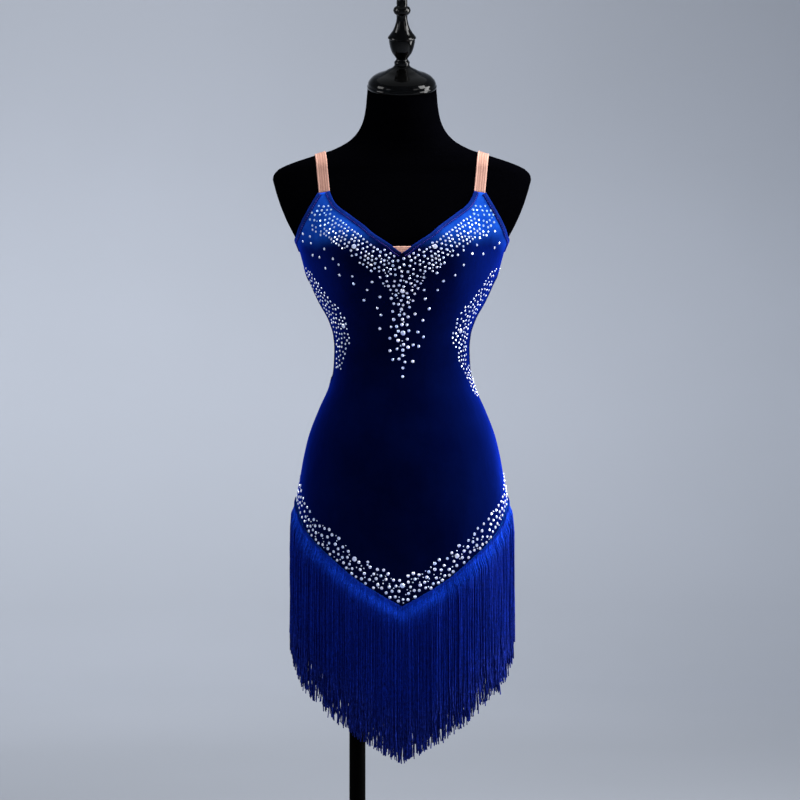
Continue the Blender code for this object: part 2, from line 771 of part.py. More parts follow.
def build():
    clear_scene()
    collection = bpy.data.collections.new("dance_dress_on_form")
    bpy.context.scene.collection.children.link(collection)
    finishes = {
        "velvet": material("velvet", (0.005, 0.02, 0.30), 0.7),
        "nude_elastic": material("nude_elastic", (0.72, 0.42, 0.33), 0.55),
        "fringe_yarn": material("fringe_yarn", (0.004, 0.03, 0.26), 0.45),
        "form_cloth": material("form_cloth", (0.006, 0.006, 0.008), 0.85),
        "black_gloss": material("black_gloss", (0.006, 0.006, 0.008), 0.2),
        "stand_metal": material("stand_metal", (0.01, 0.01, 0.012), 0.4, 0.6),
    }
    make_form(finishes, collection)
    make_stand(finishes, collection)
    make_front_panel(finishes["velvet"], collection)
    velvet, yarn = finishes["velvet"], finishes["fringe_yarn"]
    make_back_piece("back_skirt", velvet_hem_at, back_skirt_top_at, 10, velvet, collection)
    make_back_piece("back_band", back_band_bottom_at, back_band_top_at, 3, velvet, collection)
    make_bindings(velvet, collection)
    make_neck_elastic(finishes["nude_elastic"], collection)
    strap = make_strap(finishes["nude_elastic"], collection)
    mirror_copy(strap, "strap_right", collection)
    rng = random.Random(7)
    side = 90.0 - SEAM_ANGLE
    make_fringe("fringe_front", -side, side, rng, yarn, collection)
    make_fringe("fringe_back", 180.0 - side, 180.0 + side, rng, yarn, collection)


build()
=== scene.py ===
"""A salsa dance dress on its limbless dress form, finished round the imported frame.

Tables and surface functions are in millimetres, with the origin on the floor under the torso, the front
towards -Y and the wearer's left at +X. Places on the body are an angle round it, in degrees (0 in front,
90 at +X, 180 behind), and a height. They repeat the values of the CAD, so that every shell lies where its
solid does.
"""

import itertools
import math

import bpy
import numpy as np
from mathutils import Matrix, Vector, kdtree


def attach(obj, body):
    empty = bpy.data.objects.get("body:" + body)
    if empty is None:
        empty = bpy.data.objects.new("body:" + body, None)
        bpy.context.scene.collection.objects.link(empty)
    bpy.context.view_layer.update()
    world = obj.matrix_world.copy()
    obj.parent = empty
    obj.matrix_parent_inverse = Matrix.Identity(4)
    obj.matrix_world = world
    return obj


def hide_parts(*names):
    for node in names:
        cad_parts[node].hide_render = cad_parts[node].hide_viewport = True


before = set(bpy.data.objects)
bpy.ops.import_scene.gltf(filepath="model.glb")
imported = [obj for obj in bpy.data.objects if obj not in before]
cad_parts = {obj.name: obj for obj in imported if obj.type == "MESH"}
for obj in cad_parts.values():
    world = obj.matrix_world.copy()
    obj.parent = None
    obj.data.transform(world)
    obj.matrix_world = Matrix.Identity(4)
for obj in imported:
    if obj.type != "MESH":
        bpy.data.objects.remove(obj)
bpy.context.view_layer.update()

MM = 0.001
rng = np.random.default_rng(11)

# Cloth and trim, as in the CAD
SEAM_GAP = 0.3
CLOTH_CLEAR = 2.2
STRAP_CLEAR = 0.85
VELVET = 1.4
BINDING_WIDTH = 7.0
BINDING_START = 0.012
BINDING_END = 0.2
ELASTIC = 1.0
STRAP_WIDTH = 17.0
NECK_ELASTIC_HALF_LENGTH = 30.0
NECK_ELASTIC_WIDTH = 15.0
NECK_ELASTIC_TOP = 1206.5
NECK_ELASTIC_GAP = 0.9
FRINGE_DROP = 233.0
HEADER_DEPTH = 7.0
HEADER_THICKNESS = 2.4
HEM_BELOW_HEADER = 1.0
STRAND_SWING = 6.0
SWING_WITHIN = 22.0

# Bust
BUST_HEIGHT = 1190.0
BUST_APART = 75.0
BUST_RISE = 30.0
BUST_SPREAD = 60.0
BUST_FALL_ABOVE = 62.0
BUST_FALL_BELOW = 58.0
BUST_FADE = 1.4
CLOTH_BRIDGE = 0.86

# Form and stand
NECK_TILT = math.radians(21.0)
TORSO_EDGE = 5.0
POLE_X = -69.0
POLE_RADIUS = 12.5
BASE_RADIUS = 172.0
BASE_THICKNESS = 8.0
COLLAR_RADIUS = 19.0
COLLAR_HEIGHT = 32.0
FLANGE_RADIUS = 38.0
FLANGE_THICKNESS = 5.0

# height, half width, front, back, squareness, slope
TORSO = [
    (640, 150, 94, 104, 2.30, 0), (700, 155, 99, 112, 2.30, 0), (760, 157.5, 103, 117, 2.25, 0),
    (822, 157.8, 106, 118, 2.20, 0), (868, 152, 107, 112, 2.15, 0), (915, 142.5, 104, 102, 2.10, 0),
    (960, 126, 97, 90, 2.10, 0), (1000, 108.8, 90, 80, 2.10, 0), (1028, 104, 87, 76, 2.10, 0),
    (1055, 103.2, 86, 75, 2.10, 0), (1078, 105.5, 87, 77, 2.10, 0), (1100, 113.3, 89, 82, 2.15, 0),
    (1130, 130, 92, 88, 2.20, 0), (1162, 142.8, 96, 94, 2.25, 0), (1194, 151.5, 98, 99, 2.35, 0),
    (1210, 156, 97, 101, 2.40, 0), (1225, 163.5, 96, 102, 2.45, 0), (1242, 177, 93, 103, 2.45, 0),
    (1266, 192, 87, 103, 2.45, 0), (1290, 200.5, 78, 100, 2.45, 0), (1310, 202, 69, 95, 2.45, 0),
    (1324, 199, 62, 90, 2.50, 0), (1334, 190, 59, 87, 2.50, 0), (1341, 175, 56, 83, 2.50, 0),
    (1349, 154, 53, 79, 2.40, 0.02), (1357, 131, 51, 75, 2.30, 0.05), (1365, 107.5, 50, 71, 2.20, 0.10),
    (1380, 80.5, 50, 64, 2.10, 0.18), (1395, 66.8, 52, 58, 2.05, 0.25), (1411, 59.6, 54, 54, 2.00, 0.31),
    (1430, 55.8, 57, 47, 2.00, 0.36), (1459, 53.2, 58.7, 40.7, 2.00, math.tan(NECK_TILT)),
]
# height, half width of the arms' flat caps
ARM_CAPS = [(1225, 163.5), (1255, 178.5), (1286, 190.5), (1317, 199.8)]
SKIRT_EASE = [(640, 6.0), (760, 3.0), (822, 1.2), (868, 0.3), (915, 0.0), (1360, 0.0)]
SKIRT_TOP_SIDE = 1011.0
BAND_BOTTOM_SIDE = 1170.0
BAND_TOP_SIDE = 1213.5
# angle, height
HEM_BACK = [(98, 826), (116, 808), (138, 765), (160, 715), (180, 676)]
BACK_SKIRT_TOP = [(90, SKIRT_TOP_SIDE), (130, 990), (165, 978), (180, 977)]
BACK_BAND_TOP = [(90, BAND_TOP_SIDE), (130, 1222), (165, 1225), (180, 1225)]
BACK_BAND_BOTTOM = [(90, BAND_BOTTOM_SIDE), (130, 1173), (165, 1175), (180, 1175)]
# distance across, height
HEM_FRONT = [(0, 666), (30, 683), (65.5, 705.5), (111.5, 745), (130.5, 764), (146, 786), (154, 807)]
CUTOUT = [
    (104.9, 1013), (103.4, 1021), (102.3, 1036), (101.9, 1062), (105.4, 1085), (114, 1107), (124.5, 1125),
    (133.2, 1143), (139, 1156),
]
NECKLINE = [
    (0, 1196), (6, 1199), (16.5, 1207), (30, 1216), (43.5, 1225), (57, 1237), (71, 1248), (85, 1259),
    (98, 1270), (106, 1283), (109.5, 1292),
]
ARMHOLE = [
    (161.8, 1223.5), (158.8, 1231), (153.5, 1243), (147, 1255), (140, 1267), (132.5, 1280), (126.5, 1290),
]
# along the neck's axis, radius
NECK_CAP = [
    (0.3, 53.6), (3.4, 53.9), (4.2, 52.8), (8, 52.4), (11.7, 50.4), (17.3, 45), (20.8, 38.5), (23.6, 31),
    (25.6, 26.4), (28, 22.4), (30.7, 17), (33.2, 13.4), (35, 12),
]
FINIAL = [
    (35.3, 11.6), (40.5, 12), (42, 11), (45.4, 8.8), (49.5, 11.2), (55, 15), (62.4, 17.9), (71.2, 19.8),
    (74.6, 20.1), (76.2, 20), (78.4, 21.9), (80.2, 21), (84.6, 17.6), (89.6, 14.2), (96, 11.2),
    (102.4, 9.3), (108.8, 8.3), (113, 8.6), (116.4, 11.8), (120.6, 13.4), (125, 11.8), (128, 8.2),
    (131.8, 8.4), (136.6, 8), (141.4, 6.2), (145.6, 3.4), (147.4, 0),
]
# share of the way over the shoulder, distance across
STRAP_LINE = [(0.0, 118.0), (0.45, 128.0), (0.7, 124.0), (1.0, 106.0)]
SHOULDER_Y, SHOULDER_HEIGHT, SHOULDER_REACH = 8.0, 1262.0, 150.0

# Shallow creases in the stretched velvet: from (angle, height) to (angle, height), half width, lift
CREASES = [
    (68, 1092, 20, 1074, 7, 0.9), (70, 1068, 16, 1046, 8, -0.8), (66, 1044, 22, 1016, 8, 0.9),
    (58, 1118, 26, 1128, 7, 0.6), (34, 1146, 6, 1152, 7, -0.6), (60, 996, 10, 968, 12, 0.8),
    (84, 966, 46, 930, 13, -0.7), (78, 886, 40, 862, 15, 0.6), (44, 766, 50, 880, 12, 0.8),
    (18, 706, 24, 812, 13, -0.7), (70, 800, 74, 900, 12, 0.6), (128, 985, 100, 960, 10, 0.8),
    (172, 962, 130, 930, 12, -0.8), (160, 900, 120, 915, 14, 0.7), (170, 730, 164, 880, 13, 0.8),
    (138, 780, 142, 890, 13, -0.7), (112, 820, 110, 905, 12, 0.6), (160, 1205, 105, 1196, 6, 0.6),
    (150, 1188, 110, 1184, 5, -0.5),
]
CREASES_MIRRORED = 0.8  # how much of their lift those on the other side have
MIRROR_SHIFT = 6.0  # and how much higher they lie
CREASE_RADIUS = 110  # the body's, where their angles are measured


def mix(a, b, t):
    return a + (b - a) * t


def smooth_step(t):
    t = np.clip(t, 0.0, 1.0)
    return t * t * (3 - 2 * t)


def bell(t):
    return np.exp(-t * t)


def fair(rows, column=1):
    """A smooth function through one column of a table that never passes beyond its values."""
    xs = np.array([row[0] for row in rows], float)
    ys = np.array([row[column] for row in rows], float)
    steps = np.diff(ys) / np.diff(xs)
    slopes = [steps[0]]
    for before, after in zip(steps, steps[1:]):
        slopes.append(2 * before * after / (before + after) if before * after > 0 else 0.0)
    slopes = np.array(slopes + [steps[-1]])

    def value(x):
        x = np.clip(x, xs[0], xs[-1])
        i = np.clip(np.searchsorted(xs, x, side="right") - 1, 0, len(xs) - 2)
        width = xs[i + 1] - xs[i]
        t = (x - xs[i]) / width
        return (
            ys[i] * (1 + 2 * t) * (1 - t) ** 2
            + ys[i + 1] * t * t * (3 - 2 * t)
            + width * (slopes[i] * t * (1 - t) ** 2 - slopes[i + 1] * t * t * (1 - t))
        )

    return value


half_width_at, front_at, back_at, square_at, slope_at = (fair(TORSO, column) for column in range(1, 6))
arm_cap_width = fair(ARM_CAPS)
ease_at = fair(SKIRT_EASE)
back_skirt_top_at = fair(BACK_SKIRT_TOP)
back_band_top_at = fair(BACK_BAND_TOP)
back_band_bottom_at = fair(BACK_BAND_BOTTOM)


def bust(x, height, bridge):
    cups = bell((x - BUST_APART) / BUST_SPREAD) + bell((x + BUST_APART) / BUST_SPREAD)
    span = mix(CLOTH_BRIDGE, 1.0, smooth_step(abs(x) / BUST_APART))
    spanned = np.where(abs(x) < BUST_APART, span, cups)
    fall = np.where(height > BUST_HEIGHT, BUST_FALL_ABOVE, BUST_FALL_BELOW)
    return BUST_RISE * mix(cups, spanned, bridge) * bell((height - BUST_HEIGHT) / fall)


def on_torso(angle, height, bridge=0.0):
    """Points of the torso's surface at angles and heights."""
    angle, height = np.broadcast_arrays(np.asarray(angle, float), np.asarray(height, float))
    turn = np.radians(angle)
    across, ahead = np.sin(turn), np.cos(turn)
    front, back, square = front_at(height), back_at(height), square_at(height)
    wide, deep = abs(across) / half_width_at(height), abs(ahead) / np.where(ahead > 0, front, back)
    reach = (wide**square + deep**square) ** (-1 / square)
    has_cap = (height >= ARM_CAPS[0][0]) & (height <= ARM_CAPS[-1][0])
    cap = np.where(has_cap, arm_cap_width(height), np.inf)
    x, y = np.clip(reach * across, -cap, cap), -reach * ahead
    y = y - np.where(ahead > 0, bust(x, height, bridge) * smooth_step(BUST_FADE * ahead), 0.0)
    return np.stack([x, y, height + slope_at(height) * (y - (back - front) / 2)], axis=-1)


def unit(v):
    return v / np.linalg.norm(v, axis=-1, keepdims=True)


def ways_along(surface, angle, height, step, *settings):
    """How a surface runs round the body and up it, at angles and heights."""
    round_it = surface(angle + step, height, *settings) - surface(angle - step, height, *settings)
    return round_it, surface(angle, height + step, *settings) - surface(angle, height - step, *settings)


def off_torso(angle, height, out, bridge=0.0):
    """Those points moved out from the surface, along its normal."""
    normal = unit(np.cross(*ways_along(on_torso, angle, height, 0.5, bridge)))
    return on_torso(angle, height, bridge) + normal * np.asarray(out)[..., None]


def creases_at(angle, height):
    """How far the creases lift the velvet."""
    lift = np.zeros(np.broadcast(angle, height).shape)
    wide = CREASE_RADIUS * math.radians(1)
    turned = (np.asarray(angle, float) + 180.0) % 360.0 - 180.0
    for a0, h0, a1, h1, width, rise in CREASES:
        for side, share, shift in ((1, 1.0, 0.0), (-1, CREASES_MIRRORED, MIRROR_SHIFT)):
            dx, dz = (a1 - a0) * wide, h1 - h0
            px, pz = (turned * side - a0) * wide, height - shift - h0
            t = np.clip((px * dx + pz * dz) / (dx * dx + dz * dz), 0, 1)
            off = np.hypot(px - t * dx, pz - t * dz)
            lift = lift + rise * share * bell(off / width) * (0.35 + 0.65 * np.sin(math.pi * t))
    return lift


def on_cloth(angle, height, out):
    """Points on the dress, a distance out from the velvet's inner side."""
    angle, height = np.broadcast_arrays(np.asarray(angle, float), np.asarray(height, float))
    return off_torso(angle, height, CLOTH_CLEAR + ease_at(height) + creases_at(angle, height) + out, 1.0)


def cloth_normal(angle, height):
    """The way out from the cloth and the way up along it."""
    round_it, up_it = ways_along(on_cloth, angle, height, 0.8, 0.0)
    return unit(np.cross(round_it, up_it)), unit(up_it)


def angle_of(x, height, behind=False):
    """The angle at which the front, or the back, reaches this far across at that height."""
    half_width, square = half_width_at(height), square_at(height)
    depth = -back_at(height) if behind else front_at(height)
    ahead = depth * (1 - np.minimum(abs(x) / half_width, 1.0) ** square) ** (1 / square)
    return np.degrees(np.arctan2(x, ahead))


def edge_line(points):
    """A smooth edge through (angle, height) points, as a function from the share of its length."""
    lengths = [0.0]
    for a, b in zip(points, points[1:]):
        wide = (half_width_at(a[1]) + half_width_at(b[1])) / 2
        lengths.append(lengths[-1] + math.hypot(math.radians(b[0] - a[0]) * wide, b[1] - a[1]))
    rows = [(length / lengths[-1], *point) for length, point in zip(lengths, points)]
    angle_at, height_at = fair(rows, 1), fair(rows, 2)
    return lambda share: (angle_at(share), height_at(share))


def from_front(points):
    return [(float(angle_of(x, height)), height) for x, height in points]


hem_at = fair(from_front(HEM_FRONT) + HEM_BACK)
cutout_edge = edge_line([(90.0, SKIRT_TOP_SIDE)] + from_front(CUTOUT) + [(90.0, BAND_BOTTOM_SIDE)])
neck_edge = edge_line(from_front(NECKLINE))
armhole_edge = edge_line([(90.0, BAND_TOP_SIDE)] + from_front(ARMHOLE))
armhole_share = 0.4  # of the armhole's line, before it runs on round the back
behind_share = 0.3  # of the opening's line, at each of its ends


def neck_line(share):
    return neck_edge(mix(BINDING_START, 1.0, share))


def armhole_line(share):
    """From the strap down the armhole, and on round the back band's top."""
    share = np.asarray(share, float)
    front = armhole_edge(np.clip(1.0 - share / armhole_share, 0, 1))
    angle = mix(90.0, 180.0 - BINDING_END, np.clip((share - armhole_share) / (1.0 - armhole_share), 0, 1))
    behind = share > armhole_share
    return np.where(behind, angle, front[0]), np.where(behind, back_band_top_at(angle), front[1])


def opening_line(share):
    """The waist's opening, from the back skirt's top round to the back band's bottom."""
    share = np.asarray(share, float)
    low = mix(180.0, 90.0, np.clip(share / behind_share, 0, 1))
    high = mix(90.0, 180.0, np.clip((share - 1 + behind_share) / behind_share, 0, 1))
    middle = cutout_edge(np.clip((share - behind_share) / (1 - 2 * behind_share), 0, 1))
    parts = [share < behind_share, share > 1 - behind_share]
    angle = np.select(parts, [low, high], middle[0])
    return angle, np.select(parts, [back_skirt_top_at(low), back_band_bottom_at(high)], middle[1])


def beside(edge, share, distance, step=0.004):
    """Places on the cloth beside an edge, to its left going along it, as (angle, height)."""
    angle, height = edge(share)
    ahead, behind = edge(np.minimum(share + step, 1.0)), edge(np.maximum(share - step, 0.0))
    along = on_cloth(*ahead, 0.0) - on_cloth(*behind, 0.0)
    by_angle, by_height = ways_along(on_cloth, angle, height, 0.5, 0.0)
    sideways = unit(np.cross(np.cross(by_angle, by_height), along)) * np.asarray(distance)[..., None]

    def dot(a, b):
        return (a * b).sum(axis=-1)

    aa, ah, hh = dot(by_angle, by_angle), dot(by_angle, by_height), dot(by_height, by_height)
    sa, sh = dot(sideways, by_angle), dot(sideways, by_height)
    det = aa * hh - ah * ah
    return angle + (sa * hh - sh * ah) / det, height + (sh * aa - sa * ah) / det


# Camera, and places by how they look from it
CAMERA_X, CAMERA_AWAY, CAMERA_HEIGHT = -3.0, 3600.0, 976.5
SEEN_MM = 1.55  # at the body's middle, for each of the frame's steps across
HALF_FRAME = 400  # steps
SENSOR = 36.0


def as_seen(across, down):
    """Places on the cloth, as (angle, height), that the camera sees at these steps across and down."""
    aside = (np.asarray(across, float) - HALF_FRAME) * SEEN_MM
    above = (HALF_FRAME - np.asarray(down, float)) * SEEN_MM
    x, height = aside, CAMERA_HEIGHT + above
    for _ in range(12):
        widest = half_width_at(height) * 0.999
        angle = angle_of(np.clip(x, -widest, widest), height)
        point = on_cloth(angle, height, VELVET)
        nearer = (CAMERA_AWAY + point[..., 1]) / CAMERA_AWAY
        x = x + 0.7 * (CAMERA_X + aside * nearer - point[..., 0])
        height = height + 0.7 * (CAMERA_HEIGHT + above * nearer - point[..., 2])
    return angle, height


def make_camera():
    data = bpy.data.cameras.new("camera")
    data.sensor_width = SENSOR
    data.lens = SENSOR * CAMERA_AWAY / (2 * HALF_FRAME * SEEN_MM)
    camera = bpy.data.objects.new("camera", data)
    camera.location = (CAMERA_X * MM, -CAMERA_AWAY * MM, CAMERA_HEIGHT * MM)
    camera.rotation_euler = (math.pi / 2, 0, 0)
    bpy.context.collection.objects.link(camera)
    bpy.context.scene.camera = camera


def soft_light(name, place, aim, size, power, colour=(1, 1, 1)):
    data = bpy.data.lights.new(name, "AREA")
    data.shape = "RECTANGLE"
    data.size, data.size_y = size
    data.energy = power
    data.color = colour
    light = bpy.data.objects.new(name, data)
    light.location = place
    light.rotation_euler = (Vector(aim) - Vector(place)).to_track_quat("-Z", "Y").to_euler()
    light.visible_camera = False
    bpy.context.collection.objects.link(light)
    return light


# ---- finishes


class Finish:
    """A material's node tree, with short ways to add to it."""

    def __init__(self, name, colour, roughness, **sockets):
        self.material = bpy.data.materials.new(name)
        self.material.use_nodes = True
        self.tree = self.material.node_tree
        self.shader = self.tree.nodes["Principled BSDF"]
        self.fill(self.shader, Roughness=roughness, Base_Color=(*colour, 1.0), **sockets)
        self.bump = None
        self.place = self.node("TexCoord").outputs["Object"]

    def fill(self, node, *values, **named):
        """Gives a node its settings, and its inputs, named with a capital, their values or links."""
        settings = [name for name in named if name[0].islower()]
        for name in settings:
            setattr(node, name, named.pop(name))
        inputs = [(node.inputs[name.replace("_", " ")], value) for name, value in named.items()]
        for socket, value in [*zip(node.inputs, values), *inputs]:
            if isinstance(value, bpy.types.NodeSocket):
                self.tree.links.new(value, socket)
            else:
                socket.default_value = value

    def node(self, kind, *values, **named):
        node = self.tree.nodes.new("ShaderNode" + kind)
        self.fill(node, *values, **named)
        return node

    def scaled(self, scale):
        return self.node("Mapping", self.place, Scale=scale).outputs["Vector"]

    def noise(self, scale, detail=2.0, rough=0.5, stretch=None):
        place = self.scaled(stretch) if stretch else self.place
        return self.node("TexNoise", place, Scale=scale, Detail=detail, Roughness=rough).outputs["Fac"]

    def dashes(self, scale, detail, rough):
        """Noise that starts afresh on every strand."""
        apart = self.node("Math", self.island(), 60.0, operation="MULTIPLY").outputs[0]
        noise = self.node("TexNoise", self.scaled(scale), apart, 1.0, detail, rough, noise_dimensions="4D")
        return noise.outputs["Fac"]

    def above(self, low, high, wander=0.0):
        """From 0 at one height to 1 at another, in metres, along a wandering line."""
        height = self.node("SeparateXYZ", self.place).outputs["Z"]
        shifted = self.node("Math", self.noise(16), wander, height, operation="MULTIPLY_ADD").outputs[0]
        ends = low + wander / 2, high + wander / 2
        return self.node("MapRange", shifted, *ends, interpolation_type="SMOOTHSTEP").outputs["Result"]

    def away(self, reach):
        """From 0 on the middle axis to 1 at this many metres from it."""
        across = self.scaled((1 / reach, 1 / reach, 0))
        return self.node("VectorMath", across, operation="LENGTH").outputs["Value"]

    def attribute(self, name):
        return self.node("Attribute", attribute_name=name).outputs["Fac"]

    def wave(self, scale, direction, distortion=0.0):
        lines = self.node("TexWave", self.place, scale, distortion, bands_direction=direction)
        return lines.outputs["Fac"]

    def island(self):
        return self.node("NewGeometry").outputs["Random Per Island"]

    def ramp(self, factor, *stops):
        """Stops are (position, colour or shade of grey)."""
        node = self.node("ValToRGB", factor)
        elements = node.color_ramp.elements
        while len(elements) < len(stops):
            elements.new(0.5)
        for element, (position, colour) in zip(elements, stops):
            element.position = position
            element.color = (*(np.ones(3) * colour), 1.0)
        return node.outputs["Color"]

    def mottled(self, noise, low, high, start=0.3, end=0.7):
        return self.ramp(noise, (start, low), (end, high))

    def blend(self, a, b, factor=1.0, how="MULTIPLY"):
        node = self.node("Mix", factor, data_type="RGBA", blend_type=how)
        for colour, socket in zip((a, b), (socket for socket in node.inputs if socket.type == "RGBA")):
            self.tree.links.new(colour, socket)
        return next(socket for socket in node.outputs if socket.type == "RGBA")

    def colour(self, output):
        self.fill(self.shader, Base_Color=output)

    def rough(self, factor, low, high):
        spread = self.node("MapRange", factor, To_Min=low, To_Max=high)
        self.fill(self.shader, Roughness=spread.outputs["Result"])

    def relief(self, height, strength, depth):
        """Adds bump, on top of any already there. depth is in metres."""
        node = self.node("Bump", strength, depth, Height=height)
        if self.bump:
            self.fill(node, Normal=self.bump)
        self.bump = node.outputs["Normal"]
        self.fill(self.shader, Normal=self.bump)


VELVET_SHEEN = {"Sheen_Roughness": 0.45, "Sheen_Tint": (0.012, 0.060, 1.0, 1.0)}


def velvet_finish(name, sheen):
    looks = {"Specular_IOR_Level": 0.0, "Sheen_Weight": sheen, **VELVET_SHEEN}
    made = Finish(name, (0.0004, 0.002, 0.012), 0.85, **looks)
    low = made.mottled(made.noise(14, 4, 0.6), (0.0001, 0.0006, 0.004), (0.0004, 0.002, 0.016))
    # painted light: above the bust the velvet is painted a lighter blue, for the light that falls on the
    # chest from above
    high = made.mottled(made.noise(26, 4, 0.6), (0.004, 0.045, 0.34), (0.012, 0.095, 0.56))
    pile_and_painted_light = made.blend(low, high, made.above(1.202, 1.240, 0.03), "MIX")
    nap = made.mottled(made.noise(650), (0.7, 0.7, 0.75), 1, 0.25, 0.75)
    made.colour(made.blend(pile_and_painted_light, nap))
    made.relief(made.noise(24, 3, 0.6, (1, 1, 0.6)), 0.5, 0.0022)
    made.relief(made.noise(900), 0.4, 0.0002)
    return made.material


def binding_finish():
    looks = {"Specular_IOR_Level": 0.02, "Sheen_Weight": 0.7, **VELVET_SHEEN}
    made = Finish("velvet_binding", (0.004, 0.02, 0.16), 0.8, **looks)
    # painted light: above the bust the binding is painted lighter, for the light that falls on the chest
    # from above
    high = made.mottled(made.noise(60, 4, 0.6), (0.002, 0.010, 0.09), (0.004, 0.022, 0.17))
    low = made.mottled(made.noise(60, 4, 0.6), (0.0002, 0.001, 0.008), (0.0006, 0.003, 0.024))
    made.colour(made.blend(low, high, made.above(1.192, 1.232, 0.02), "MIX"))
    made.relief(made.noise(700), 0.5, 0.0002)
    return made.material


def elastic_finish(name, painted_brightness=1.0):
    made = Finish(name, (0.42, 0.22, 0.18), 0.6, Specular_IOR_Level=0.2)
    weave = made.noise(1100, 1, 0.5, (1, 1, 1.6))
    # across it, from its rolled edge to its middle: a painted highlight on the rolled edges, and painted
    # shade in the grooves between the ribs
    half = [(0.13, 1.12), (0.19, (0.62, 0.58, 0.56)), (0.27, (0.98, 0.97, 0.96)), (0.37, (0.66, 0.62, 0.6))]
    other_half = [(1 - share, shade) for share, shade in half[::-1]]
    stops = [(0.0, 1.12), *half, (0.5, (1.0, 0.98, 0.96)), *other_half]
    painted_rib_shading = made.ramp(made.attribute("across"), *stops)
    # painted light: a second argument above 1 paints a lighter copy of the same elastic, for a place that
    # gets too little light
    dark, light = painted_brightness * np.array((0.36, 0.186, 0.146)), painted_brightness * np.array((0.51, 0.295, 0.232))
    made.colour(made.blend(made.mottled(weave, dark, light), painted_rib_shading))
    made.relief(weave, 0.5, 0.00025)
    made.relief(made.noise(40), 0.15, 0.0006)
    return made.material


def yarn_finish():
    """The hanging strands, lighter just under the header and duller at their ends."""
    looks = {"Sheen_Weight": 0.18, "Sheen_Roughness": 0.4, "Sheen_Tint": (0.03, 0.10, 1.0, 1.0)}
    dark, light = (0.0016, 0.0095, 0.17), (0.0028, 0.0165, 0.27)
    made = Finish("yarn_blue", light, 0.6, Specular_IOR_Level=0.02, **looks)
    strands = made.ramp(made.island(), (0.0, dark), (1.0, light))
    along = made.mottled(made.dashes((12, 12, 260), 4, 0.8), (0.3, 0.3, 0.32), (1.7, 1.7, 1.6), 0.34, 0.66)
    wide = made.mottled(made.noise(30, 3, 0.6, (1, 1, 0.5)), 0.92, 1.05)
    down = made.attribute("down")
    fading = made.ramp(
        down,
        (0.0, 0.9),
        (0.03, (2.3, 3.8, 2.6)),
        (0.07, (2.2, 3.6, 2.5)),
        (0.13, (1.2, 1.5, 1.3)),
        (0.22, 1.1),
        (0.7, (1.1, 1.0, 0.97)),
        (1.0, (3.5, 1.3, 0.85)),
    )
    tufts = made.noise(1.0, 3, 0.7, (420, 420, 170))
    speckle = made.mottled(tufts, (0.35, 0.35, 0.38), (1.75, 1.7, 1.6), 0.38, 0.62)
    colour = made.blend(made.blend(made.blend(strands, along), wide), fading)
    made.colour(made.blend(colour, speckle, down))
    made.relief(made.wave(380, "Z", 1.0), 0.3, 0.0002)
    return made.material


def header_finish():
    made = Finish("yarn_header", (0.004, 0.10, 0.55), 0.7, Specular_IOR_Level=0.02)
    tufts = made.noise(420, 3, 0.7, (1, 1, 0.35))
    made.colour(made.mottled(tufts, (0.001, 0.018, 0.13), (0.005, 0.085, 0.42), 0.35, 0.65))
    made.relief(made.noise(500, 3, 0.7, (1, 1, 0.3)), 0.8, 0.0006)
    return made.material


def jersey_finish():
    made = Finish("jersey_black", (0.0006, 0.0006, 0.001), 0.9, Specular_IOR_Level=0.0)
    made.colour(made.mottled(made.noise(500), (0.0003, 0.0003, 0.0006), (0.0008, 0.0008, 0.0013)))
    made.relief(made.noise(800, 1, 0.5, (1.6, 1.6, 1)), 0.5, 0.0002)
    made.relief(made.noise(20), 0.1, 0.001)
    return made.material


def gloss_finish():
    made = Finish("gloss_lacquer", (0.001, 0.001, 0.001), 0.1, Specular_IOR_Level=0.16)
    made.rough(made.noise(30, 4, 0.6), 0.07, 0.12)
    made.relief(made.noise(60), 0.012, 0.0002)
    return made.material


def stand_finish():
    made = Finish("metal_blacked", (0.0006, 0.0006, 0.0006), 0.6, Specular_IOR_Level=0.01)
    made.rough(made.noise(15, 4, 0.65), 0.5, 0.68)
    made.relief(made.noise(900, 1), 0.25, 0.0001)
    return made.material


def stone_finish():
    coat = {"Coat_Weight": 1.0, "Coat_Roughness": 0.03}
    # painted sparkle: the stones glow a little, though nothing lights them from within
    painted_glow = {"Emission_Color": (0.62, 0.70, 1.0, 1.0), "Emission_Strength": 0.18}
    made = Finish("crystal", (0.9, 0.95, 1.0), 0.12, Metallic=0.5, IOR=1.7, **coat, **painted_glow)

    def hues(*colours):
        return made.ramp(made.island(), *zip((0.0, 0.35, 0.7, 1.0), colours))

    low = hues((0.55, 0.69, 1.0), (0.83, 0.84, 1.0), (0.63, 0.74, 1.0), (0.92, 0.90, 1.0))
    high = hues((0.26, 0.60, 1.0), (0.45, 0.74, 1.0), (0.34, 0.66, 1.0), (0.60, 0.82, 1.0))
    clouds = made.mottled(made.noise(1500, 1), (0.86, 0.88, 0.92), 1, 0.2, 0.6)
    # painted reflection: above the bust the stones take the bluer hues, for the blue light they reflect
    # there
    made.colour(made.blend(made.blend(low, high, made.above(1.21, 1.26, 0.02), "MIX"), clouds))
    return made.material


def thread_finish():
    made = Finish("thread", (0.08, 0.03, 0.34), 0.5, Specular_IOR_Level=0.1)
    made.colour(made.ramp(made.island(), (0.0, (0.09, 0.045, 0.36)), (1.0, (0.18, 0.08, 0.52))))
    made.relief(made.wave(900, "DIAGONAL"), 0.4, 0.0001)
    return made.material


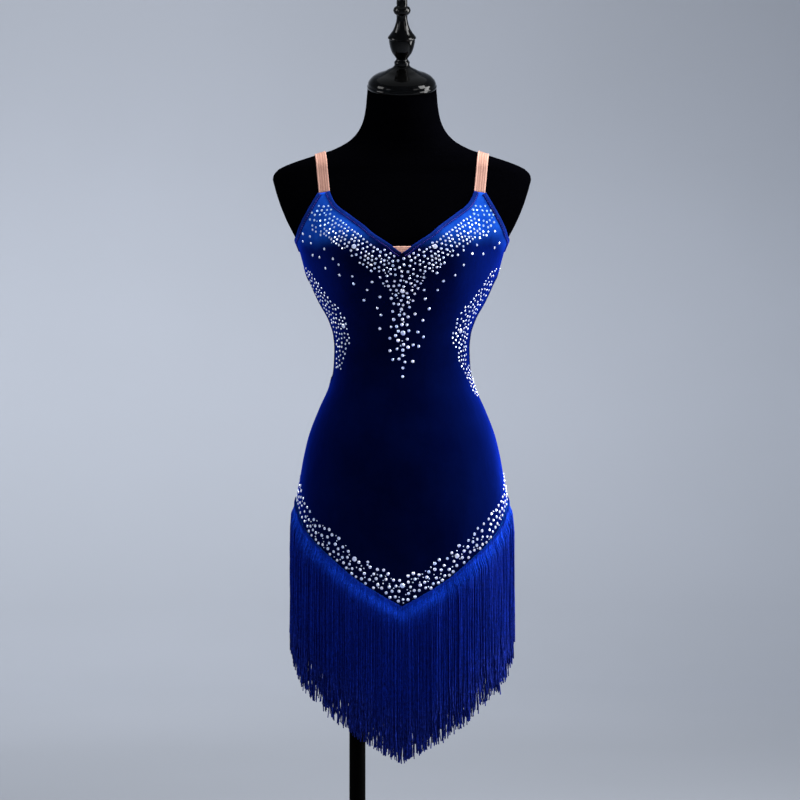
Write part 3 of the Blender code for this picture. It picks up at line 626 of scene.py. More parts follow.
def backdrop_finish():
    made = Finish("backdrop", (0.50, 0.53, 0.59), 0.95, Specular_IOR_Level=0.1)
    paint = made.mottled(made.noise(0.8), (0.50, 0.533, 0.595), (0.52, 0.553, 0.62))
    # painted shade: darker on the floor near the middle, by the distance from it in metres, and at the top
    # of the wall, to even out the light falling there
    reach = 7.0
    shades = [(2.2, 0.64), (3.0, 0.69), (3.7, 0.77), (4.1, 0.81), (4.5, 0.845), (5.3, 0.85), (5.7, 0.91)]
    low = made.ramp(made.away(reach), *((away / reach, shade) for away, shade in [*shades, (6.2, 0.97)]))
    high = made.ramp(made.above(1.2, 2.9), (0.0, 1.06), (1.0, 0.83))
    made.colour(made.blend(made.blend(paint, low), high))
    made.relief(made.noise(300), 0.05, 0.0005)
    return made.material


# ---- meshes


def add_mesh(name, points, faces, finish, smooth=True):
    """A new piece in metres from points in millimetres."""
    mesh = bpy.data.meshes.new(name)
    mesh.from_pydata((np.asarray(points, float).reshape(-1, 3) * MM).tolist(), [], faces)
    mesh.validate()
    mesh.materials.append(finish)
    if smooth:
        mesh.shade_smooth()
    mesh.update()
    obj = bpy.data.objects.new(name, mesh)
    bpy.context.collection.objects.link(obj)
    return obj


def quads(rows, columns, closed_rows=False, closed_columns=False, turned=False):
    """Faces over a grid of points with this many rows and columns of points."""
    faces = []
    for i in range(rows if closed_rows else rows - 1):
        for j in range(columns if closed_columns else columns - 1):
            i2, j2 = (i + 1) % rows, (j + 1) % columns
            face = (i * columns + j, i * columns + j2, i2 * columns + j2, i2 * columns + j)
            faces.append(face[::-1] if turned else face)
    return faces


def tube(rows, columns):
    """Faces of a closed tube, whose rows of points run round it."""
    first, last = range(columns), range((rows - 1) * columns, rows * columns)
    return [*quads(rows, columns, closed_columns=True), tuple(first)[::-1], tuple(last)]


def strip(rows, columns, turned=False):
    """Faces of a closed strip, whose rows of points run along it."""
    first = tuple(range(0, rows * columns, columns))
    last = tuple(k + columns - 1 for k in first)[::-1]
    ends = [face[::-1] if turned else face for face in (first, last)]
    return quads(rows, columns, closed_rows=True, turned=turned) + ends


def repeated(pattern, size, count):
    """The faces of many small pieces alike, each with this many points."""
    return [tuple(k * size + point for point in face) for k in range(count) for face in pattern]


def rings_of(outline, steps, way=1):
    """Rings of points round the upright axis, from an outline of (along, radius)."""
    turn = np.linspace(0, 2 * math.pi, steps, endpoint=False) * way
    along, radius = np.array(outline, float).T[..., None]
    return np.stack(np.broadcast_arrays(radius * np.cos(turn), radius * np.sin(turn), along), -1)


def add_shell(name, inner, outer, finish, split=None):
    """A closed piece of cloth between two grids of points, rows up and columns round, with a narrow rim.

    Two columns from split on may lie on each other, and are then one. Above, the cloth is open.
    """
    rows, columns = inner.shape[:2]
    count = rows * columns
    own = np.arange(count)
    skin = quads(rows, columns)
    if split is not None:
        left = np.arange(rows) * columns + split
        joined = np.abs(inner[:, split, 0]) < 1e-6
        own[left[joined] + 1] = left[joined]
        skin = [face for face in skin if face[0] % columns != split]
    skin = [tuple(int(own[k]) for k in face) for face in skin]
    edges = {(a, b) for face in skin for a, b in zip(face, face[1:] + face[:1])}
    faces = [tuple(k + count for k in face) for face in skin] + [face[::-1] for face in skin]
    faces += [(a, b, b + count, a + count) for a, b in sorted(edges) if (b, a) not in edges]
    points = np.concatenate([inner.reshape(-1, 3), outer.reshape(-1, 3)])
    used = sorted({k for face in faces for k in face})
    number = {k: i for i, k in enumerate(used)}
    return add_mesh(name, points[used], [tuple(number[k] for k in face) for face in faces], finish)


def store(obj, name, values):
    """Keeps a value for each of a mesh's points, for its finish."""
    layer = obj.data.attributes.new(name, "FLOAT", "POINT")
    layer.data.foreach_set("value", np.asarray(values, float).ravel())


AT_RIM, BY_RIM = 0.35, 0.85  # how much of its thickness the velvet has there


def rounded(shape):
    """The velvet's thickness over a grid, less along its rim, where it is turned under."""
    wall = np.full(shape, VELVET)
    wall[[0, -1], :] *= AT_RIM
    wall[:, [0, -1]] *= AT_RIM
    wall[[1, -2], 1:-1] *= BY_RIM
    wall[1:-1, [1, -2]] *= BY_RIM
    return wall


def both_sides(grid, doubled=False):
    """A grid over the wearer's left, continued over the right. The middle column may be kept twice."""
    flip = (grid[:, ::-1] if doubled else grid[:, :0:-1]) * np.array([-1.0, 1.0, 1.0])
    return np.concatenate([flip, grid], axis=1)


def mirror_copy(obj, name):
    twin = obj.copy()
    twin.data = obj.data.copy()
    twin.name = twin.data.name = name
    twin.data.transform(Matrix.Diagonal((-1, 1, 1, 1)))
    twin.data.flip_normals()
    bpy.context.collection.objects.link(twin)
    return twin


def whole(piece, node):
    """A piece that stands for a node, whose own part is hidden."""
    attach(piece, "root")
    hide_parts(node)
    return piece


# ---- form and stand

ON_AXIS = 0.02  # the radius at which an outline closes


def turned(name, outline, finish, steps=96, place=(0, 0, 0), tilt=0.0):
    """A turned piece from its outline, (along, radius), closed at both of its ends."""
    obj = add_mesh(name, rings_of(outline, steps), tube(len(outline), steps), finish)
    obj.data.transform(Matrix.Translation(Vector(place) * MM) @ Matrix.Rotation(tilt, 4, "X"))
    return obj


def finer(outline, steps):
    """An outline with more points, on a smooth line through it by its length."""
    lengths = np.concatenate([[0], np.cumsum([math.dist(a, b) for a, b in zip(outline, outline[1:])])])
    rows = [(length, *point) for length, point in zip(lengths, outline)]
    along, radius = fair(rows, 1), fair(rows, 2)
    shares = np.union1d(np.linspace(0, lengths[-1], steps), lengths)
    return [(float(along(s)), float(max(radius(s), ON_AXIS))) for s in shares]


def make_form(finishes):
    rings, points = 150, 144
    bottom, top = TORSO[0][0], TORSO[-1][0]
    angles = np.linspace(-180, 180, points, endpoint=False)
    heights = np.union1d(np.linspace(bottom + TORSO_EDGE, top, rings), [row[0] for row in TORSO[1:]])
    under = []
    for share in (0.0, 0.35, 0.7):
        turn = share * math.pi / 2
        ring = off_torso(angles, bottom, -TORSO_EDGE * (1 - math.sin(turn)))
        ring[:, 2] = bottom + TORSO_EDGE * (1 - math.cos(turn))
        under.append(ring)
    grid = np.concatenate([np.array(under), on_torso(angles[None, :], heights[:, None])])
    cover = add_mesh("torso_cover", grid, tube(len(grid), points), finishes["jersey"])
    whole(cover, "form_torso")
    neck = (0, (TORSO[-1][3] - TORSO[-1][2]) / 2, top)
    for name, node, outline, steps in (
        ("neck_cap_turned", "neck_cap", NECK_CAP, 40),
        ("finial_turned", "finial", FINIAL, 90),
    ):
        piece = turned(name, finer(outline, steps), finishes["gloss"], 96, neck, NECK_TILT)
        whole(piece, node)


def make_stand(finishes):
    metal = finishes["stand"]
    foot, head = BASE_THICKNESS + SEAM_GAP, TORSO[0][0] - SEAM_GAP
    bore = POLE_RADIUS + SEAM_GAP
    broken = 0.6  # off each of the pole's edges
    pole = [(foot, ON_AXIS), (foot, POLE_RADIUS - broken), (foot + broken, POLE_RADIUS)]
    pole += [(head - broken, POLE_RADIUS), (head, POLE_RADIUS - broken), (head, ON_AXIS)]
    whole(turned("pole_tube", pole, metal, 64, (POLE_X, 0, 0)), "pole")
    # from the face, round the flange and up the collar, to its mouth
    flanged = [
        (0, bore), (0, FLANGE_RADIUS - 0.8), (0.8, FLANGE_RADIUS), (FLANGE_THICKNESS - 1, FLANGE_RADIUS),
        (FLANGE_THICKNESS, FLANGE_RADIUS - 1.2), (FLANGE_THICKNESS, COLLAR_RADIUS + 2.5),
        (FLANGE_THICKNESS + 0.8, COLLAR_RADIUS + 0.8), (FLANGE_THICKNESS + 2.5, COLLAR_RADIUS),
        (COLLAR_HEIGHT - 1, COLLAR_RADIUS), (COLLAR_HEIGHT, COLLAR_RADIUS - 1), (COLLAR_HEIGHT, bore),
    ]
    for name, node, face, way in (
        ("socket_turned", "pole_socket", head, -1),
        ("collar_turned", "base_collar", foot, 1),
    ):
        rings = rings_of([(face + way * along, radius) for along, radius in flanged], 64, way)
        faces = quads(len(rings), 64, closed_rows=True, closed_columns=True)
        whole(add_mesh(name, rings + (POLE_X, 0, 0), faces, metal), node)
    edge = BASE_THICKNESS
    plate = [(0, ON_AXIS), (0, BASE_RADIUS - 1.2), (1.2, BASE_RADIUS), (edge - 2.0, BASE_RADIUS)]
    plate += [(edge - 0.6, BASE_RADIUS - 0.6), (edge, BASE_RADIUS - 2.0), (edge, ON_AXIS)]
    whole(turned("base_disc", plate, metal, 160), "base_plate")


# ---- velvet


def front_lines():
    """The front panel's rows from hem to strap, as the angles and heights of their inner and outer ends."""
    shares = np.linspace(0, 1, 40, endpoint=False)
    waist = [shares * 0, mix(SKIRT_TOP_SIDE, BAND_BOTTOM_SIDE, shares), *cutout_edge(shares)]
    shares = np.linspace(0, 1, 12, endpoint=False)
    bust_low = mix(BAND_BOTTOM_SIDE, NECKLINE[0][1], shares)
    side = [shares * 0, bust_low, shares * 0 + 90, mix(BAND_BOTTOM_SIDE, BAND_TOP_SIDE, shares)]
    shares = np.linspace(0, 1, 40)
    return np.concatenate([waist, side, [*neck_edge(shares), *armhole_edge(shares)]], axis=1).T


def velvet_hem_at(angle):
    return hem_at(angle) - HEADER_DEPTH - HEM_BELOW_HEADER


def make_front(finish, columns=52, skirt_rows=72):
    u = np.linspace(0, 1, columns)
    angle = np.broadcast_to(90.0 * u, (skirt_rows, columns))
    up = np.linspace(0, 1, skirt_rows, endpoint=False)[:, None]
    height = mix(velvet_hem_at(angle), SKIRT_TOP_SIDE, up)
    lines = front_lines()
    angle = np.concatenate([angle, mix(lines[:, 0, None], lines[:, 2, None], u)])
    height = np.concatenate([height, mix(lines[:, 1, None], lines[:, 3, None], u)])
    wall = rounded((len(angle), 2 * columns - 1))[:, columns - 1 :]
    open_rows = angle[:, 0] > 0
    wall[open_rows, 0], wall[open_rows, 1] = VELVET * AT_RIM, VELVET * BY_RIM
    inner, outer = on_cloth(angle, height, 0.0), on_cloth(angle, height, wall)
    for side in (inner, outer):
        side[angle == 90.0, 1] -= SEAM_GAP / 2
        side[angle == 0.0, 0] = 0.0
    piece = add_shell("velvet_front", both_sides(inner, True), both_sides(outer, True), finish, columns - 1)
    return whole(piece, "front_panel")


def make_back(name, node, bottom_at, top_at, rows, finish, columns=52):
    angle = np.broadcast_to(np.linspace(180, 90, columns)[None, :], (rows, columns))
    height = mix(bottom_at(angle), top_at(angle), np.linspace(0, 1, rows)[:, None])
    wall = rounded((rows, 2 * columns - 1))[:, columns - 1 :]
    inner, outer = on_cloth(angle, height, 0.0), on_cloth(angle, height, wall)
    for side in (inner, outer):
        side[:, -1, 1] += SEAM_GAP / 2
        side[:, 0, 0] = 0.0
    # seen from behind, the wearer's right is on the right
    inner, outer = both_sides(inner)[:, ::-1], both_sides(outer)[:, ::-1]
    return whole(add_shell(name, inner, outer, finish), node)


PRESSED_WITHIN = [4.6, 9.0, 13.4]  # from the edge
PRESSED_SHEEN = [0.12, 0.35, 0.65]


def press_edge(piece):
    """Along the waist's opening, where the velvet is turned under, its pile lies flatter."""
    edge = on_cloth(*opening_line(np.linspace(0, 1, 400)), VELVET * 0.6)
    tree = kdtree.KDTree(len(edge))
    for k, point in enumerate(edge.tolist()):
        tree.insert(point, k)
    tree.balance()
    for finish in finishes["pressed"]:
        piece.data.materials.append(finish)
    for face in piece.data.polygons:
        x, y, z = face.center / MM
        band = 1 + int(np.searchsorted(PRESSED_WITHIN, tree.find((abs(x), y, z))[2]))
        face.material_index = band if band <= len(PRESSED_WITHIN) else 0


# The binding's section: from the edge inwards, and out from the velvet's inner side
BINDING_SECTION = [
    (-BINDING_WIDTH, VELVET + 0.05), (-BINDING_WIDTH + 0.4, VELVET + 0.9),
    (-BINDING_WIDTH + 1.6, VELVET + 1.35), (-3.4, VELVET + 1.5), (-1.4, VELVET + 1.4),
    (-0.1, VELVET + 1.0), (0.5, VELVET + 0.1), (0.4, 0.2), (-0.2, -0.3), (-2.4, VELVET * 0.5),
]


def make_binding(name, node, edge, steps, finish):
    shares = np.linspace(0, 1, steps)
    rings = []
    for distance, out in BINDING_SECTION:
        angle, height = beside(edge, shares, np.full(steps, distance))
        # sewn along its inner edge, it puckers a little
        pucker = 0.18 * np.sin(shares * steps * 1.9) * math.exp(-(((distance + 5.4) / 1.6) ** 2))
        rings.append(on_cloth(angle, height, out + pucker))
    left = add_mesh(f"{name}_left", np.array(rings), strip(len(rings), steps, turned=True), finish)
    right = mirror_copy(left, f"{name}_right")
    return [whole(left, f"{node}_left"), whole(right, f"{node}_right")]


# ---- elastic


def ribs(u, count=5):
    """Relief across the elastic: a rolled edge on each side and ribs between."""
    edge = np.minimum(u, 1 - u)
    rise = 0.35 * np.abs(np.sin(math.pi * count * u)) ** 0.6 + 0.25 * bell((edge - 0.06) / 0.05)
    return rise - 0.4 * bell(edge / 0.02)


def turn_towards(point):
    return np.arctan2(point[..., 2] - SHOULDER_HEIGHT, point[..., 1] - SHOULDER_Y)


def on_shoulder(x, turn, out):
    """Points over the shoulder, found by halving the stretch in which a ray leaves the torso."""
    outwards = np.stack([np.zeros_like(turn), np.cos(turn), np.sin(turn)], -1)
    middle = np.stack([x, np.full_like(x, SHOULDER_Y), np.full_like(x, SHOULDER_HEIGHT)], -1)
    near, far = np.zeros_like(turn), np.full_like(turn, SHOULDER_REACH)
    for _ in range(15):
        half = (near + far) / 2
        point = middle + outwards * half[..., None]
        height = point[..., 2].copy()
        behind = point[..., 1] > 0

        def surface():
            angle = np.where(behind, angle_of(x, height, True), angle_of(x, height))
            return on_torso(angle, height)

        for _ in range(4):
            height = point[..., 2] - surface()[..., 2] + height
        within = (x < half_width_at(height)) & (abs(point[..., 1]) < abs(surface()[..., 1]))
        near, far = np.where(within, half, near), np.where(within, far, half)
    return middle + outwards * (near + out)[..., None]


def make_strap(finish, rows=110, columns=31):
    strap_x_at = fair(STRAP_LINE)
    u, v = np.meshgrid(np.linspace(0, 1, columns), np.linspace(0, 1, rows))
    aside = mix(-STRAP_WIDTH / 2, STRAP_WIDTH / 2, u)
    tip = [neck_edge(1.0), armhole_edge(1.0)]
    start = on_cloth(mix(tip[0][0], tip[1][0], u), mix(tip[0][1], tip[1][1], u) + SEAM_GAP, 0.0)
    angle = angle_of(STRAP_LINE[-1][1] + aside, BAND_TOP_SIDE, True)
    end = on_cloth(angle, back_band_top_at(angle) + SEAM_GAP, 0.0)
    turn = mix(turn_towards(start), turn_towards(end), v)
    x = strap_x_at(v) + aside
    inner = on_shoulder(x, turn, np.full_like(x, STRAP_CLEAR))
    outer = on_shoulder(x, turn, STRAP_CLEAR + ELASTIC * 0.7 + ribs(u))
    left = add_shell("elastic_strap_left", inner, outer, finish)
    store(left, "across", np.tile(u.ravel(), 2))
    right = mirror_copy(left, "elastic_strap_right")
    return [whole(left, "strap_left"), whole(right, "strap_right")]


def make_neck_elastic(finish, columns=41, rows=25):
    half = NECK_ELASTIC_HALF_LENGTH
    u, v = np.meshgrid(np.linspace(0, 1, columns), np.linspace(0, 1, rows))
    height = NECK_ELASTIC_TOP - NECK_ELASTIC_WIDTH * (1 - v)
    x = mix(-half, half, u)
    angle = angle_of(x, height)
    inner = on_cloth(angle, height, -NECK_ELASTIC_GAP - ELASTIC)
    outer = on_cloth(angle, height, -NECK_ELASTIC_GAP - ELASTIC + ELASTIC * 0.7 + ribs(v))
    piece = add_shell("elastic_neck", inner, outer, finish)
    store(piece, "across", np.tile(v.ravel(), 2))
    return whole(piece, "neck_elastic")


# ---- fringe


def hem_all_round(angle):
    return hem_at(180.0 - abs(180.0 - np.mod(angle, 360.0)))


def make_header(name, node, start, end, finish, steps=420):
    """The fringe's gathered top, a rounded strip over the velvet's edge."""
    angle = np.linspace(start, end, steps)
    top = hem_all_round(angle)
    section = [
        (-HEADER_DEPTH, 0.3), (0.0, 0.1), (0.6, 0.9), (0.1, 1.8), (-1.8, 2.3), (-4.4, 2.5),
        (-HEADER_DEPTH + 0.2, 2.2), (-HEADER_DEPTH - 0.4, 1.2),
    ]
    wobble = 0.35 * np.sin(np.arange(steps) * 2.4) + rng.normal(0, 0.3, steps)
    rings = [on_cloth(angle, top + up + (wobble if up > -1 else 0), VELVET + out) for up, out in section]
    piece = add_mesh(name, np.array(rings), strip(len(rings), steps), finish)
    return whole(piece, node)


# How far down a strand its rings lie, and how thick it is there
STRAND_RINGS = [
    (0, 0.7), (3.5, 1), (8, 1.1), (14, 1.1), (24, 1), (48, 1), (88, 1), (130, 1), (166, 1), (192, 1),
    (207, 1.15), (221, 1.35), (FRINGE_DROP, 1.5),
]
STRANDS_PART = 40.0  # how far above their ends the strands come apart
LOCK_STRANDS = 5.0 / 1.45  # about how many strands of a layer gather in a lock
NEAR_SEAM = 0.0005  # how near to the header's ends they stay, as a share of its length


def make_strands(name, node, start, end, finish, across=360, layers=6, sides=3):
    """Strands that hang from the header, in layers, and gather in small locks at their ragged ends."""
    drops, thickness = np.array(STRAND_RINGS).T
    count = across * layers
    share = (np.arange(count) % across + rng.uniform(0.0, 1.0, count)) / across
    layer = np.repeat(np.arange(layers), across) / (layers - 1)
    length = FRINGE_DROP + 4.0 - 58.0 * rng.uniform(0, 1, count) ** 1.3 + rng.normal(0, 1.5, count)
    length = np.minimum(length, FRINGE_DROP + 5.0)
    drift = share * across / LOCK_STRANDS + 0.2 * layer
    lock_of = np.floor(drift + 0.5 * np.sin(share * 61) + 0.15 * np.sin(share * 173))
    lean = np.zeros(count)
    for lock in np.unique(lock_of):
        members = lock_of == lock
        lean[members] = share[members].mean() - share[members]
    lean = lean * rng.uniform(0.7, 1.0, count)
    stray = rng.normal(0, 0.4 / across, count)
    tip = rng.normal(0, 0.9 / across, count)
    push = rng.normal(0, 0.9, count)
    ragged = rng.uniform(-0.6, 0.9, count)
    phase = rng.uniform(0, 2 * math.pi, (2, count))
    root_angle = mix(start, end, np.clip(share, NEAR_SEAM, 1 - NEAR_SEAM))
    top = hem_all_round(root_angle)
    out = VELVET + 0.8 + (HEADER_THICKNESS + 0.2) * (0.3 + 0.7 * layer)
    path = []
    for drop in drops:
        t = drop / FRINGE_DROP
        apart = smooth_step((drop - FRINGE_DROP + STRANDS_PART) / STRANDS_PART)
        place = share + (lean + tip) * apart + stray * t
        place = place + 0.2 / across * np.sin(phase[0] + 9 * t) * min(1.0, 4 * t)
        place = place + 0.9 / across * np.sin(phase[1] + 26 * t) * apart
        angle = mix(start, end, np.clip(place, NEAR_SEAM, 1 - NEAR_SEAM))
        if drop < HEADER_DEPTH:
            point = on_cloth(angle, top + ragged - drop, out + (0.5 if drop > 0 else -0.2))
        else:
            point = on_cloth(angle, top - HEADER_DEPTH, out)
            down = drop - HEADER_DEPTH
            swing = STRAND_SWING * (0.2 + 0.8 * layer) * smooth_step(down / SWING_WITHIN)
            swing = swing + push * smooth_step(down / 60)
            swing = swing + 0.5 * np.sin(phase[1] + 8 * t) * smooth_step(t * 2)
            point = point + unit(point * np.array([1.0, 1.0, 0.0])) * swing[:, None]
            point[:, 2] = top - HEADER_DEPTH - down * (length - HEADER_DEPTH) / (FRINGE_DROP - HEADER_DEPTH)
        path.append(point)
    path = np.array(path)  # rings, strands, xyz
    radius = rng.uniform(0.56, 0.76, count)
    outwards = unit(path[3] * np.array([1.0, 1.0, 0.0]))
    aside = np.stack([-outwards[:, 1], outwards[:, 0], np.zeros(count)], -1)
    spin = rng.uniform(0, 2 * math.pi, count)
    rings = []
    for k, thick in enumerate(thickness):
        for side in range(sides):
            turn = (spin + 2 * math.pi * side / sides)[:, None]
            spoke = outwards * np.cos(turn) + aside * np.sin(turn)
            rings.append(path[k] + spoke * (radius * thick)[:, None])
    points = np.array(rings).reshape(len(drops), sides, count, 3).transpose(2, 0, 1, 3)
    faces = repeated([face[::-1] for face in tube(len(drops), sides)], len(drops) * sides, count)
    piece = add_mesh(name, points, faces, finish)
    store(piece, "down", np.tile(np.repeat(drops / FRINGE_DROP, sides), count))
    return whole(piece, node)


# ---- rhinestones

STONE = 2.18  # radius
HEM_STONE = 2.4
BIG_STONE = 3.8
# A stone's back, girdle and table: reach and height in its radii, and turn in facets
STONE_RINGS = [(0.97, 0.0, 0.5), (1.0, 0.14, 0.5), (0.56, 0.52, 0.0)]


def stone_mesh(name, places, finish):
    """Faceted flat-backed stones at (angle, height, radius), each turned its own way."""
    places = np.array(places)
    angle, height, radius = places.T
    normal, up = cloth_normal(angle, height)
    centre = on_cloth(angle, height, VELVET - 0.15)
    aside = np.cross(up, normal)
    spin = rng.uniform(0, math.pi, len(places))
    tip = rng.normal(0, 0.05, (2, len(places), 1))
    normal = unit(normal + aside * tip[0] + up * tip[1])
    aside = unit(np.cross(up, normal))
    up = np.cross(normal, aside)
    points = []
    for reach, rise, shift in STONE_RINGS:
        for k in range(8):
            turn = (spin + (k + shift) * math.pi / 4)[:, None]
            flat = aside * np.cos(turn) + up * np.sin(turn)
            points.append(centre + (flat * reach + normal * rise) * radius[:, None])
    # its flat back and its table, and round it a side, with two facets over each
    pattern = [tuple(range(8))[::-1], tuple(range(16, 24))]
    for k in range(8):
        after = (k + 1) % 8
        pattern.append((k, after, 8 + after, 8 + k))
        pattern.append((8 + k, 16 + after, 16 + k))
        pattern.append((8 + k, 8 + after, 16 + after))
    points = np.array(points).transpose(1, 0, 2)
    stones = add_mesh(name, points, repeated(pattern, 24, len(places)), finish, smooth=False)
    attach(stones, "root")
    return stones


CELL = 8.0  # stones that are further apart than this may not be compared


def cell_of(point):
    return tuple(int(c // CELL) for c in point)


def take(taken, point):
    taken.setdefault(cell_of(point), []).append(tuple(point))


def scatter(candidates, taken, spacing, size=STONE):
    """Of candidate places, those that keep their distance from all that are taken before them."""
    points = on_cloth(*candidates, VELVET).tolist()
    rows = [np.broadcast_to(values, len(points)).tolist() for values in (*candidates, spacing, size)]
    kept = []
    for point, angle, height, apart, radius in zip(points, *rows):
        cells = itertools.product(*((c - 1, c, c + 1) for c in cell_of(point)))
        if all(math.dist(other, point) >= apart for cell in cells for other in taken.get(cell, ())):
            take(taken, point)
            kept.append((angle, height, radius * rng.uniform(0.86, 1.08)))
    return kept


def seen_at(angle, height):
    """Where the camera sees places on the cloth: steps across and down the frame."""
    point = on_cloth(angle, height, VELVET)
    steps = SEEN_MM * (CAMERA_AWAY + point[..., 1]) / CAMERA_AWAY
    across, down = (point[..., 0] - CAMERA_X) / steps, (point[..., 2] - CAMERA_HEIGHT) / steps
    return HALF_FRAME + across, HALF_FRAME - down


def inside(polygon, x, y):
    """Which points lie within a polygon."""
    found = np.zeros(x.shape, bool)
    for (x0, y0), (x1, y1) in zip(polygon, polygon[1:] + polygon[:1]):
        crosses = (y0 > y) != (y1 > y)
        found ^= crosses & (x < x0 + (x1 - x0) * (y - y0) / (y1 - y0 + 1e-9))
    return found


# The dense part of the yoke on one side, as seen: steps across from the middle, and down the frame
YOKE = [
    (82, 205), (73.5, 204.5), (68, 213), (58, 221.5), (44, 232.5), (28, 243), (12.5, 252.5), (3, 258),
    (-3, 258), (-1.5, 378), (2, 378), (3.5, 362), (7.5, 340), (9, 322), (9.5, 308), (13, 296), (19.5, 284),
    (27, 273), (38.5, 267.5), (46, 259.5), (56, 251), (70, 244), (80.5, 235.5), (91, 231), (93, 221.5),
    (90.5, 211.5),
]
YOKE_ACROSS, YOKE_DOWN = (-3, 94), (204, 378)  # what holds it
YOKE_MIDDLE = 10  # steps to each side of the middle, where its stones don't stand in rows
THINNER_FROM, THINNER_WITHIN = 215, 130  # steps down the frame, from which it thins out, and within which
ROWS, ROW_STONES = 8, 25  # of stones beside the neck's edge
FIRST_ROW, ROWS_APART = 10.5, 6.2
MIDDLE = 402.0  # steps across to the dress's middle
WAISTS_APART = 802.5  # steps from the frame's edge to a place on the left, and on to its mirrored place
# Loose stones round the yoke, as seen
LOOSE = [
    (302.9, 233.8), (310, 236.4), (302.9, 241.4), (310.9, 243.2), (324.3, 248.9), (312.7, 255.2),
    (319.5, 257.3), (332.9, 258.8), (325.5, 268.2), (338.6, 264.6), (339.5, 275.2), (352.3, 276.3),
    (353.6, 283.9), (367.1, 290), (363.9, 300.2), (377.3, 308.2), (381.1, 315), (379.8, 328.6),
    (389.8, 338.2), (389.8, 350.7), (392.7, 359.6), (402.9, 368), (402.5, 376.6), (490.9, 225.7),
    (494.8, 231.1), (479.6, 237.7), (486.3, 235.2), (499.3, 243.2), (477, 245), (494.6, 247.9),
    (472.1, 253.6), (483.2, 253.9), (463.6, 250.2), (457.9, 254.8), (463.8, 265), (455.2, 275.2),
    (443.4, 281.1), (437.7, 290), (436.8, 273), (425.2, 298.9), (429.1, 308.8), (422.9, 320.4),
    (417.7, 332), (423.4, 337), (418.6, 346.3), (412.7, 361.4), (372, 282), (380, 297), (424, 290),
    (415, 314), (391, 327), (413, 345), (397, 349), (399, 359), (405, 362),
]
# The brightest stones, as seen, on the velvet and just above the fringe
SPARKLES = [(354.0, 246.5), (435.0, 246.5), (402.5, 291.0), (403.0, 333.0), (343.5, 326.0), (460.5, 331.0)]
SPARKLES_HEM = [(354.5, 559.0), (457.0, 556.0), (402.4, 585.6)]
SPACING = 6.0
HEM_CLEAR = 3.4  # how far above the fringe the stones over the hem begin
STONE_BAND_HEM = 36.0  # and how much further up they reach, about
TRIES, TRIES_BEHIND, TRIES_HEM = 16000, 5000, 14000  # candidate places in each field
FEW_HEM, FEW_YOKE = 800, 250  # of them that are tried again for small stones between
# The dense stones beside the waist's opening, as seen on the frame's left, and mirrored on its right
WAIST = [
    (305, 267), (309.5, 270), (315, 278), (320.5, 286), (325.5, 292.5), (329.5, 299), (337, 306),
    (342.5, 314), (346.5, 322), (350, 334), (350, 341), (347.5, 348), (345, 354), (343.5, 361),
    (340.5, 370), (336, 370), (336, 340), (334, 330), (330.5, 320), (325.5, 311.5), (320, 302), (315, 293),
    (310.5, 284),
]
WAIST_DOWN_RIGHT = [
    (461, 364), (468.5, 364), (473.5, 380), (478.5, 395), (475.5, 396), (468, 380),
]


def mirrored(count):
    """A side for each of so many stones: 1, or -1 for the other."""
    return np.where(rng.random(count) < 0.5, 1, -1)


